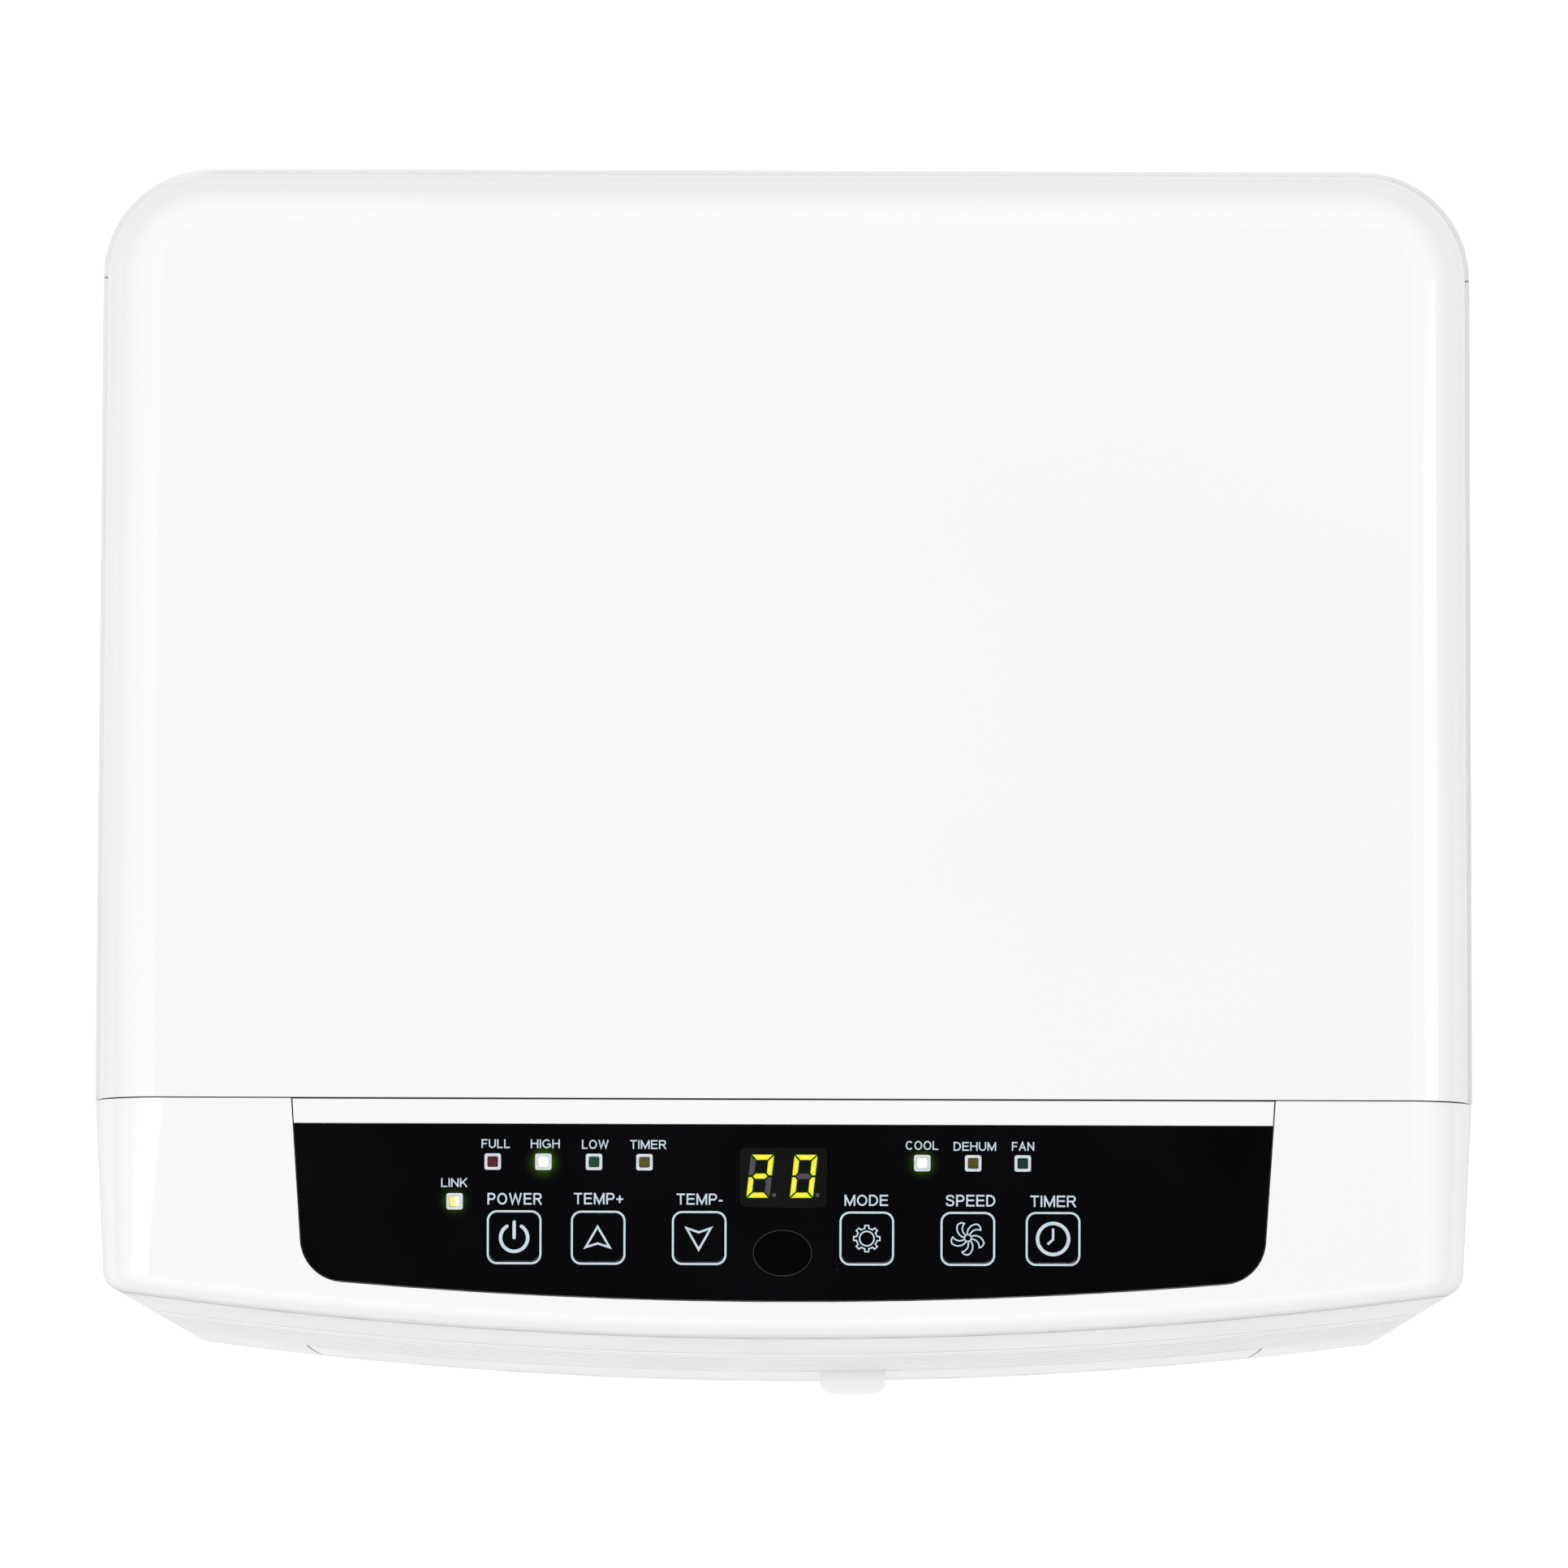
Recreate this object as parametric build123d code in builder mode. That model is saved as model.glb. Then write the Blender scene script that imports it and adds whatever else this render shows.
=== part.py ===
"""Portable air conditioner and dehumidifier, built as separate named pieces.

Millimetres.  +Z up, the control panel and air outlet face -Y, the intake
grilles and the exhaust collar face +Y.  The origin is at the bottom centre of
the bounding box, on the floor under the castors.
"""
import os
from math import sin, cos, radians, sqrt
from build123d import *

os.makedirs("parts", exist_ok=True)

# ---------------------------------------------------------------- main sizes
HEIGHT = 690.0          # floor to top cover
HALF_W = 165.0          # half the body width
Y_SEAM = -87.0          # joint between top cover and control console
Y_JOINT = 112.0         # joint between side panels and rear panel
Y_BACK = 138.6          # outer face of the rear panel
Y_FRONT_MAX = -153.4    # tip of the outlet flap's finger tab
Y_REAR_MAX = 153.4      # end of the exhaust collar
BACK_R = 26.6           # plan radius of the rear corners
LEDGE_SIDE = 1.3        # top cover set in from the side panels
LEDGE_BACK = 1.7        # top cover set in from the rear panel

# front face: a shallow barrel, an arc in plan and an arc in side view
ARC_CY = 1031.4         # centre of the plan arc
ARC_R = 1174.9          # radius of the plan arc at the console seam
LEAN = 0.0548           # forward lean at the top, radians
BARREL_R = 2865.0       # side-view radius
ARC_DEPTH = 290.0       # below this depth the side view is a straight line
CORNER_R = 5.0          # front corner radius
FACET_X, FACET_Y = 158.1, -133.3   # a point of the flat facet across each front corner
TAPER = 0.054           # console and front panel narrow towards the front

WALL = 2.6
Z_TRAY = 44.0           # underside of the base tray
Z_LOW = 62.0            # lower edge of the wall panels
Z_FSEAM = 671.6         # top edge of the front panel
Z_CONSOLE = 672.0       # lower edge of the console
Z_SIDETOP = 674.0       # top edge of the side and rear panels

PANEL_SLOPE = 5.1       # console falls towards the front, degrees

RIB_PITCH = 8.0
RIB_FIRST = 46.7        # depth of the first groove below the seam
RIB_COUNT = 10

# outlet flap
FLAP_HX = 120.0
FLAP_Z0, FLAP_Z1 = 478.0, 550.0
FLAP_AX_Y, FLAP_AX_Z = -135.5, 508.0
OPEN_HX = 120.6
OPEN_Z0, OPEN_Z1 = 474.6, 551.2
TAB_X0, TAB_X1 = 8.96, 25.60

# exhaust collar
EXH_X, EXH_Z, EXH_R = 55.0, 345.0, 71.0


def bulge(z, z_top=Z_CONSOLE):
    """How far the front face stands proud of the console seam at height z."""
    d = z_top - z
    if d <= ARC_DEPTH:
        return LEAN * d - d * d / (2 * BARREL_R)
    s = LEAN - ARC_DEPTH / BARREL_R
    return LEAN * ARC_DEPTH - ARC_DEPTH ** 2 / (2 * BARREL_R) + s * (d - ARC_DEPTH)


def half_width(y):
    """Half the width of the console and front panel at depth y."""
    return 164.9 - TAPER * (Y_SEAM - y) if y < Y_SEAM else HALF_W


# plane through the front face's axis, from which the front face is turned
FAN = 9.0
_ax, _ay = cos(radians(-90 - FAN)), sin(radians(-90 - FAN))
FRONT_PLANE = Plane(origin=(0, ARC_CY, 0), x_dir=(_ax, _ay, 0), z_dir=(_ay, -_ax, 0))
FRONT_AXIS = Axis((0, ARC_CY, 0), (0, 0, 1))



def facet_plane(sx):
    """Plane of the flat facet across one front corner, facing outwards."""
    return Plane(origin=(sx * FACET_X, FACET_Y, Z_CONSOLE), x_dir=(0.8677, sx * 0.4971, 0), z_dir=(sx * 0.4971, -0.8677, 0.0027))


# control panel plane: x across, y up the slope towards the back
_b = radians(PANEL_SLOPE)
PANEL = Plane(origin=(0, Y_SEAM - 0.8, HEIGHT), x_dir=(1, 0, 0), z_dir=(0, -sin(_b), cos(_b)))


def front_profile(inset, z0, z1, depth):
    """Closed side-view profile (radius, height) of a slice of the front wall."""
    n = 3
    zj = Z_CONSOLE - ARC_DEPTH
    top = (ARC_R + bulge(z1) - inset, z1)
    inner_hi = (ARC_R + bulge(z1) - inset - depth, z1)
    inner_lo = (ARC_R + bulge(z0) - inset - depth, z0)
    bot = (ARC_R + bulge(z0) - inset, z0)
    if z0 < zj < z1:
        j = (ARC_R + bulge(zj) - inset, zj)
        zm = 0.5 * (z1 + zj)
        m = (ARC_R + bulge(zm) - inset, zm)
        ThreePointArc(top, m, j)
        Line(j, bot)
        Line(bot, (bot[0] - depth, z0))
        zm2 = zm
        Line((bot[0] - depth, z0), (j[0] - depth, zj))
        ThreePointArc((j[0] - depth, zj), (m[0] - depth, zm), inner_hi)
        Line(inner_hi, top)
    else:
        zm = 0.5 * (z0 + z1)
        m = (ARC_R + bulge(zm) - inset, zm)
        ThreePointArc(top, m, bot)
        Line(bot, inner_lo)
        ThreePointArc(inner_lo, (m[0] - depth, zm), inner_hi)
        Line(inner_hi, top)


def save(builder, label):
    builder.part.label = label
    export_step(builder.part, "parts/%s.step" % label)
    bb = builder.part.bounding_box()
    print("%-28s solids %d  vol %9.0f  x %.1f..%.1f  y %.1f..%.1f  z %.1f..%.1f" % (
        label, len(builder.part.solids()), builder.part.volume,
        bb.min.X, bb.max.X, bb.min.Y, bb.max.Y, bb.min.Z, bb.max.Z))


def body_outline(inset, front_shift):
    """Plan outline of the body, inset all round; front arc moved by front_shift."""
    hx = HALF_W - inset
    r = ARC_R + front_shift - inset
    xf = 162.3 - inset
    yf = ARC_CY - sqrt(r * r - xf * xf)
    ThreePointArc((-xf, yf), (0, ARC_CY - r), (xf, yf))
    Polyline((xf, yf), (hx, Y_SEAM), (hx, Y_BACK - inset), (-hx, Y_BACK - inset), (-hx, Y_SEAM), (-xf, yf))


# =================================================================== outer shell
# ---- front wall, smooth, before it is divided into its pieces
with BuildPart() as front_outer:
    with BuildSketch(FRONT_PLANE):
        with BuildLine():
            front_profile(0.0, Z_LOW, Z_FSEAM, 62.0)
        make_face()
    revolve(axis=FRONT_AXIS, revolution_arc=2 * FAN)
    with BuildSketch(Plane.XY):
        with BuildLine():
            Polyline((-half_width(-160), -160), (half_width(-160), -160), (half_width(Y_SEAM - 0.4), Y_SEAM - 0.4),
                     (-half_width(Y_SEAM - 0.4), Y_SEAM - 0.4), close=True)
        make_face()
    extrude(amount=700, mode=Mode.INTERSECT)
    corner_edges = [e for e in front_outer.edges() if abs(e.center().X) > 155 and e.center().Y < -105
                    and abs((e @ 1).Z - (e @ 0).Z) > 60]
    fillet(corner_edges, radius=CORNER_R)
    # flat facets across the two front corners
    for sx in (-1, 1):
        with BuildSketch(facet_plane(sx)):
            Rectangle(120, 1400)
        extrude(amount=30, mode=Mode.SUBTRACT)

with BuildPart() as front_inner:
    with BuildSketch(FRONT_PLANE):
        with BuildLine():
            front_profile(WALL, Z_LOW - 5, Z_FSEAM + 5, 90.0)
        make_face()
    revolve(axis=FRONT_AXIS, revolution_arc=2 * FAN)
    with BuildSketch(Plane.XY):
        with BuildLine():
            Polyline((-half_width(-160) + WALL, -160), (half_width(-160) - WALL, -160),
                     (half_width(Y_SEAM - 0.4) - WALL, Y_SEAM - 0.4), (half_width(Y_SEAM - 0.4) - WALL, -60),
                     (-half_width(Y_SEAM - 0.4) + WALL, -60), (-half_width(Y_SEAM - 0.4) + WALL, Y_SEAM - 0.4), close=True)
        make_face()
    extrude(amount=700, mode=Mode.INTERSECT)
    for sx in (-1, 1):
        with BuildSketch(facet_plane(sx).offset(-WALL)):
            Rectangle(120, 1400)
        extrude(amount=30, mode=Mode.SUBTRACT)

with BuildPart() as rib_rings:
    with BuildSketch(FRONT_PLANE):
        for k in range(RIB_COUNT):
            zc = Z_CONSOLE - RIB_FIRST - RIB_PITCH * k
            rr = ARC_R + bulge(zc)
            with BuildLine():
                Polyline((rr + 1.2, zc + 2.2), (rr - 1.0, zc), (rr + 1.2, zc - 2.2), close=True)
            make_face()
        for k in range(RIB_COUNT):
            zc = 462.0 - RIB_PITCH * k
            rr = ARC_R + bulge(zc)
            with BuildLine():
                Polyline((rr + 1.2, zc + 2.2), (rr - 1.0, zc), (rr + 1.2, zc - 2.2), close=True)
            make_face()
    revolve(axis=FRONT_AXIS, revolution_arc=2 * FAN)
    with BuildSketch(Plane.XY):
        with Locations((0, -140)):
            Rectangle(2 * 156.0, 60)
    extrude(amount=700, mode=Mode.INTERSECT)

# ---- upper front panel with the outlet opening
with BuildPart() as front_upper_panel:
    add(front_outer.part)
    add(front_inner.part, mode=Mode.SUBTRACT)
    with BuildSketch(Plane.XY.offset(470.4)):
        with Locations((0, -120)):
            Rectangle(400, 140)
    extrude(amount=Z_FSEAM - 470.4, mode=Mode.INTERSECT)
    add(rib_rings.part, mode=Mode.SUBTRACT)
    with BuildSketch(Plane.XZ.offset(120)):
        with Locations((0, (OPEN_Z0 + OPEN_Z1) / 2)):
            Rectangle(2 * OPEN_HX, OPEN_Z1 - OPEN_Z0)
        # lens-shaped finger notch above the flap's tab
        with BuildLine():
            ThreePointArc((3.8, OPEN_Z1 - 0.2), ((TAB_X0 + TAB_X1) / 2, OPEN_Z1 + 5.0), (30.9, OPEN_Z1 - 0.2))
            Line((30.9, OPEN_Z1 - 0.2), (3.8, OPEN_Z1 - 0.2))
        make_face()
    extrude(amount=60, mode=Mode.SUBTRACT)
save(front_upper_panel, "front_upper_panel")

# ---- lower front panel
with BuildPart() as front_lower_panel:
    add(front_outer.part)
    add(front_inner.part, mode=Mode.SUBTRACT)
    with BuildSketch(Plane.XY.offset(Z_LOW)):
        with Locations((0, -120)):
            Rectangle(400, 140)
    extrude(amount=470.0 - Z_LOW, mode=Mode.INTERSECT)
    add(rib_rings.part, mode=Mode.SUBTRACT)
save(front_lower_panel, "front_lower_panel")

# ---- outlet flap: one piece of the barrel, its tab, end webs and pivot pins
with BuildPart() as outlet_flap:
    with BuildSketch(FRONT_PLANE):
        with BuildLine():
            front_profile(0.0, FLAP_Z0, FLAP_Z1, 2.4)
        make_face()
    revolve(axis=FRONT_AXIS, revolution_arc=2 * FAN)
    with BuildSketch(Plane.XY.offset(FLAP_Z0)):
        with Locations((0, -140)):
            Rectangle(2 * FLAP_HX, 60)
    extrude(amount=FLAP_Z1 - FLAP_Z0, mode=Mode.INTERSECT)
    # end webs
    for sx in (-1, 1):
        with BuildSketch(Plane.YZ.offset(sx * FLAP_HX - (2.5 if sx > 0 else 0))):
            with Locations((FLAP_AX_Y, FLAP_AX_Z)):
                Circle(4.6)
            with BuildLine():
                Polyline((FLAP_AX_Y, FLAP_AX_Z - 4.6), (-141.3, FLAP_AX_Z - 16), (-141.3, FLAP_AX_Z + 16),
                         (FLAP_AX_Y, FLAP_AX_Z + 4.6), close=True)
            make_face()
        extrude(amount=2.5)
        with BuildSketch(Plane.YZ.offset(sx * (FLAP_HX - 0.5))):
            with Locations((FLAP_AX_Y, FLAP_AX_Z)):
                Circle(2.0)
        extrude(amount=sx * 4.0)
    # finger tab on the upper edge
    with BuildSketch(Plane.XY.offset(FLAP_Z1 - 3.4)):
        with BuildLine():
            Polyline((TAB_X0, -145.4), (TAB_X0, Y_FRONT_MAX + 1.0))
            ThreePointArc((TAB_X0, Y_FRONT_MAX + 1.0), ((TAB_X0 + TAB_X1) / 2, Y_FRONT_MAX), (TAB_X1, Y_FRONT_MAX + 1.0))
            Polyline((TAB_X1, Y_FRONT_MAX + 1.0), (TAB_X1, -145.4), (TAB_X0, -145.4))
        make_face()
    extrude(amount=3.4)
    fillet([e for e in outlet_flap.edges().filter_by(Axis.Z) if e.center().Y < -152], radius=2.8)
save(outlet_flap, "outlet_flap")

# ---- console: a lofted cap, cut to the front arc, with the panel opening
LOFT_Y = -150.0


def console_section(y, inset, z0):
    hw = half_width(y) - inset
    zt = HEIGHT - (Y_SEAM - y) * sin(_b) / cos(_b) - inset
    r = (17.0 if y > -100 else 10.0) - inset
    q = r * (1 - sqrt(0.5))
    Line((-hw, z0), (hw, z0))
    Line((hw, z0), (hw, zt - r))
    ThreePointArc((hw, zt - r), (hw - q, zt - q), (hw - r, zt))
    Line((hw - r, zt), (-hw + r, zt))
    ThreePointArc((-hw + r, zt), (-hw + q, zt - q), (-hw, zt - r))
    Line((-hw, zt - r), (-hw, z0))


with BuildPart() as console:
    with BuildSketch(Plane.XZ.offset(-(Y_SEAM - 0.3))):
        with BuildLine():
            console_section(Y_SEAM - 0.3, 0.0, Z_CONSOLE)
        make_face()
    with BuildSketch(Plane.XZ.offset(-LOFT_Y)):
        with BuildLine():
            console_section(LOFT_Y, 0.0, Z_CONSOLE)
        make_face()
    loft(ruled=True)
    with BuildSketch(Plane.XY.offset(Z_CONSOLE - 1)):
        with Locations((0, ARC_CY)):
            Circle(ARC_R)
    extrude(amount=40, mode=Mode.INTERSECT)
    rim = [e for e in console.edges() if e.center().Y < -128 and e.center().Z > Z_CONSOLE + 0.5]
    fillet(rim, radius=5.0)
with BuildPart() as console_core:
    with BuildSketch(Plane.XZ.offset(-(Y_SEAM + 5))):
        with BuildLine():
            console_section(Y_SEAM + 5, WALL, Z_CONSOLE - 5)
        make_face()
    with BuildSketch(Plane.XZ.offset(-LOFT_Y)):
        with BuildLine():
            console_section(LOFT_Y, WALL, Z_CONSOLE - 5)
        make_face()
    loft(ruled=True)
    with BuildSketch(Plane.XY.offset(Z_CONSOLE - 10)):
        with Locations((0, ARC_CY)):
            Circle(ARC_R - WALL)
    extrude(amount=40, mode=Mode.INTERSECT)


def overlay_outline(grow, v_top):
    """Control panel outline in the panel plane."""
    xt = 116.45 + (v_top + 5.5) * 0.0675 + grow
    xb = 114.05 + grow
    vb = -42.15 - grow
    Line((-xt, v_top), (xt, v_top))
    Line((xt, v_top), (xb, vb))
    ThreePointArc((xb, vb), (0, -47.4 - grow), (-xb, vb))
    Line((-xb, vb), (-xt, v_top))


with BuildPart() as console_final:
    add(console.part)
    add(console_core.part, mode=Mode.SUBTRACT)
    # rebate block that carries the panel insert
    with BuildSketch(PANEL.offset(-5.4)) as shelf_sk:
        with BuildLine():
            overlay_outline(3.0, -3.0)
        make_face()
        fillet([v for v in shelf_sk.vertices() if v.Y < -30 and abs(v.X) > 100], radius=12.0)
    extrude(amount=3.2)
    with BuildSketch(PANEL.offset(-3.25)) as cut_sk:
        with BuildLine():
            overlay_outline(0.3, 3.0)
        make_face()
        fillet([v for v in cut_sk.vertices() if v.Y < -30 and abs(v.X) > 100], radius=10.6)
    extrude(amount=20, mode=Mode.SUBTRACT)
    with BuildSketch(PANEL.offset(-14)):
        with Locations((0, -18.5)):
            Rectangle(212, 37.0)
    extrude(amount=14, mode=Mode.SUBTRACT)
save(console_final, "console")

# ---- white panel insert
with BuildPart() as panel_insert:
    with BuildSketch(PANEL.offset(-3.2)) as ins_sk:
        with BuildLine():
            overlay_outline(0.0, 0.35)
        make_face()
        fillet([v for v in ins_sk.vertices() if v.Y < -30 and abs(v.X) > 100], radius=10.3)
    extrude(amount=2.4)
    # raised strip behind the overlay, level with the console
    with BuildSketch(PANEL.offset(-0.8)) as strip_sk:
        with BuildLine():
            Polyline((-116.8, 0.35), (116.8, 0.35), (116.45, -5.35), (-116.45, -5.35), close=True)
        make_face()
    extrude(amount=0.8)
    # windows for the display, receiver, lamps and key stems
    with BuildSketch(PANEL.offset(-4)):
        with Locations((0.1, -18.0)):
            Rectangle(21.5, 14.8)
        with Locations((0.08, -36.0)):
            Ellipse(7.2, 5.8)
        with Locations((-69.1, -14.47), (-57.05, -14.47), (-45.0, -14.47), (-33.0, -14.5), (-78.15, -23.95),
                       (33.1, -14.5), (45.2, -14.52), (57.0, -14.52)):
            Rectangle(2.5, 2.5)
        with Locations((-63.95, -32.46), (-43.96, -32.5), (-19.92, -32.5), (19.95, -32.5), (43.99, -32.5), (64.26, -32.45)):
            Rectangle(11.9, 11.9)
    extrude(amount=5, mode=Mode.SUBTRACT)
save(panel_insert, "panel_insert")

LEDS = {"full": (-69.1, -14.47), "high": (-57.05, -14.47), "low": (-45.0, -14.47), "timer": (-33.0, -14.5),
        "link": (-78.15, -23.95), "cool": (33.1, -14.5), "dehum": (45.2, -14.52), "fan": (57.0, -14.52)}
KEYS = {"power": (-63.95, -32.46), "up": (-43.96, -32.5), "down": (-19.92, -32.5),
        "mode": (19.95, -32.5), "speed": (43.99, -32.5), "timer": (64.26, -32.45)}
KEY_HALF = 5.65
KEY_GAP = 0.3

# ---- glossy black overlay
with BuildPart() as control_overlay:
    with BuildSketch(PANEL.offset(-0.8)) as ov_sk:
        with BuildLine():
            overlay_outline(0.0, -5.5)
        make_face()
        fillet([v for v in ov_sk.vertices() if v.Y < -30 and abs(v.X) > 100], radius=10.3)
        with Locations((0.1, -18.0)):
            RectangleRounded(21.3, 14.6, 1.6, mode=Mode.SUBTRACT)
        with Locations((0.08, -36.0)):
            Ellipse(7.0, 5.6, mode=Mode.SUBTRACT)
        with Locations(*LEDS.values()):
            RectangleRounded(2.4, 2.4, 0.4, mode=Mode.SUBTRACT)
        with Locations(*KEYS.values()):
            RectangleRounded(2 * (KEY_HALF + KEY_GAP), 2 * (KEY_HALF + KEY_GAP), 1.9 + KEY_GAP, mode=Mode.SUBTRACT)
    extrude(amount=0.8)
save(control_overlay, "control_overlay")

# ---- key pads with their stems
for key, (u, v) in KEYS.items():
    with BuildPart() as pad:
        with BuildSketch(PANEL.offset(-0.75)):
            with Locations((u, v)):
                RectangleRounded(2 * KEY_HALF, 2 * KEY_HALF, 1.9)
        extrude(amount=0.75)
        with BuildSketch(PANEL.offset(-6.2)):
            with Locations((u, v)):
                Circle(2.2)
        extrude(amount=5.6)
    save(pad, "key_%s" % key)

# ---- lamp windows
with BuildPart() as lamp_windows:
    with BuildSketch(PANEL.offset(-7.2)):
        with Locations(*LEDS.values()):
            RectangleRounded(2.3, 2.3, 0.35)
    extrude(amount=7.2)
save(lamp_windows, "lamp_windows")

# ---- two-digit display: lit segments and housing
SEG_L, SEG_H, SEG_W = 5.0, 5.0, 0.95   # segment length, half digit height, width
SLANT = 0.105


def seg_points(name, cx, cy):
    h, l, w = SEG_H - 0.2, SEG_L / 2 - 0.2, SEG_W
    g = 0.12
    pts = {
        "a": [(-l, 2 * h), (l, 2 * h), (l - w, 2 * h - w), (-l + w, 2 * h - w)],
        "d": [(-l, 0), (l, 0), (l - w, w), (-l + w, w)],
        "g": [(-l + w * 0.6, h), (-l + w * 1.1, h + w / 2), (l - w * 1.1, h + w / 2), (l - w * 0.6, h), (l - w * 1.1, h - w / 2), (-l + w * 1.1, h - w / 2)],
        "b": [(l + g, 2 * h - g), (l + g, h + g), (l - w * 0.45, h + g), (l - w + g, h + w * 0.5 + g), (l - w + g, 2 * h - w - g)],
        "c": [(l + g, g), (l + g, h - g), (l - w * 0.45, h - g), (l - w + g, h - w * 0.5 - g), (l - w + g, w + g)],
    }
    pts["f"] = [(-x, y) for x, y in pts["b"]]
    pts["e"] = [(-x, y) for x, y in pts["c"]]
    return [(cx + x + SLANT * (y - h), cy + y - h) for x, y in pts[name]]


D1, D2 = (-5.45, -17.75), (4.9, -17.75)
with BuildPart() as display_digits:
    with BuildSketch(PANEL.offset(-0.35)):
        for seg, (cx, cy) in [(q, D1) for q in "abged"] + [(q, D2) for q in "abcdef"]:
            with BuildLine():
                Polyline(*seg_points(seg, cx, cy), close=True)
            make_face()
    extrude(amount=0.15)
save(display_digits, "display_digits")
with BuildPart() as display_housing:
    with BuildSketch(PANEL.offset(-8.4)):
        with Locations((0.1, -18.0)):
            RectangleRounded(20.9, 14.2, 1.3)
    extrude(amount=8.05)
save(display_housing, "display_housing")
with BuildPart() as receiver_window:
    with BuildSketch(PANEL.offset(-3.0)):
        with Locations((0.08, -36.0)):
            Ellipse(6.9, 5.5)
    extrude(amount=2.85)
save(receiver_window, "receiver_window")

# ---- control circuit board with its switches
with BuildPart() as control_board:
    with BuildSketch(PANEL.offset(-10.0)):
        with Locations((-4, -24.5)):
            Rectangle(180, 30)
    extrude(amount=1.6)
    with BuildSketch(PANEL.offset(-8.4)):
        with Locations(*KEYS.values()):
            Rectangle(6.0, 6.0)
    extrude(amount=1.5)
    with BuildSketch(PANEL.offset(-8.4)):
        with Locations(*LEDS.values()):
            Rectangle(2.0, 1.6)
    extrude(amount=1.1)
save(control_board, "control_board")

# ---- top cover
with BuildPart() as top_cover:
    with BuildSketch(Plane.XY.offset(Z_SIDETOP)):
        with Locations((0, (Y_SEAM + Y_BACK - LEDGE_BACK) / 2)):
            Rectangle(2 * (HALF_W - LEDGE_SIDE), Y_BACK - LEDGE_BACK - Y_SEAM)
    extrude(amount=HEIGHT - Z_SIDETOP)
    fillet([e for e in top_cover.edges().filter_by(Axis.Z) if e.center().Y > 100], radius=BACK_R - 1.0)
    fillet([e for e in top_cover.edges() if e.center().Z > HEIGHT - 0.1 and e.center().Y > Y_SEAM + 1], radius=13.8)
    with BuildPart(mode=Mode.PRIVATE) as cover_core:
        with BuildSketch(Plane.XY.offset(Z_SIDETOP - 5)):
            with Locations((0, (Y_SEAM + Y_BACK - LEDGE_BACK) / 2)):
                Rectangle(2 * (HALF_W - LEDGE_SIDE - WALL), Y_BACK - LEDGE_BACK - Y_SEAM - 2 * WALL)
        extrude(amount=HEIGHT - Z_SIDETOP + 5 - WALL)
        fillet([e for e in cover_core.edges().filter_by(Axis.Z) if e.center().Y > 100], radius=BACK_R - 1.0 - WALL)
        fillet([e for e in cover_core.edges() if e.center().Z > HEIGHT - WALL - 0.1 and e.center().Y > Y_SEAM + WALL + 1], radius=13.8 - WALL)
    add(cover_core.part, mode=Mode.SUBTRACT)
    # stiffening ribs under the lid
    for xr in (-80, 0, 80):
        with BuildSketch(Plane.XY.offset(HEIGHT - WALL - 8)):
            with Locations((xr, 25)):
                Rectangle(2.0, 200)
        extrude(amount=8.5)
save(top_cover, "top_cover")

# ---- side panels with a hand grip and louvre slots
GRIP_Y0, GRIP_Y1, GRIP_Z0, GRIP_Z1, GRIP_D = -35.0, 65.0, 552.0, 602.0, 24.0
for side, sx in (("left", -1), ("right", 1)):
    with BuildPart() as side_panel:
        with BuildSketch(Plane.XY.offset(Z_LOW)):
            with Locations((sx * (HALF_W - WALL / 2), (Y_SEAM + Y_JOINT) / 2)):
                Rectangle(WALL, Y_JOINT - Y_SEAM - 0.4)
        extrude(amount=Z_SIDETOP - Z_LOW)
        # grip cup
        with BuildSketch(Plane.XY.offset(GRIP_Z0)):
            with Locations((sx * (HALF_W - GRIP_D / 2), (GRIP_Y0 + GRIP_Y1) / 2)):
                Rectangle(GRIP_D, GRIP_Y1 - GRIP_Y0)
        extrude(amount=GRIP_Z1 - GRIP_Z0)
        with BuildSketch(Plane.YZ.offset(sx * (HALF_W - GRIP_D + 2.4))):
            with Locations(((GRIP_Y0 + GRIP_Y1) / 2, (GRIP_Z0 + GRIP_Z1) / 2)):
                RectangleRounded(GRIP_Y1 - GRIP_Y0 - 4.8, GRIP_Z1 - GRIP_Z0 - 4.8, 12.0)
        extrude(amount=sx * 40, mode=Mode.SUBTRACT)
        # louvre slots
        with BuildSketch(Plane.YZ.offset(sx * (HALF_W - 5))):
            with GridLocations(0, 11.0, 1, 9):
                with Locations((15, 165)):
                    SlotOverall(88, 4.5)
        extrude(amount=sx * 10, mode=Mode.SUBTRACT)
        # foot and head flanges turned inwards
        with BuildSketch(Plane.XY.offset(Z_LOW + 30)):
            with Locations((sx * (HALF_W - WALL - 4), 10)):
                Rectangle(8.0, 150)
        extrude(amount=2.4)
    save(side_panel, "side_panel_%s" % side)

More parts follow.
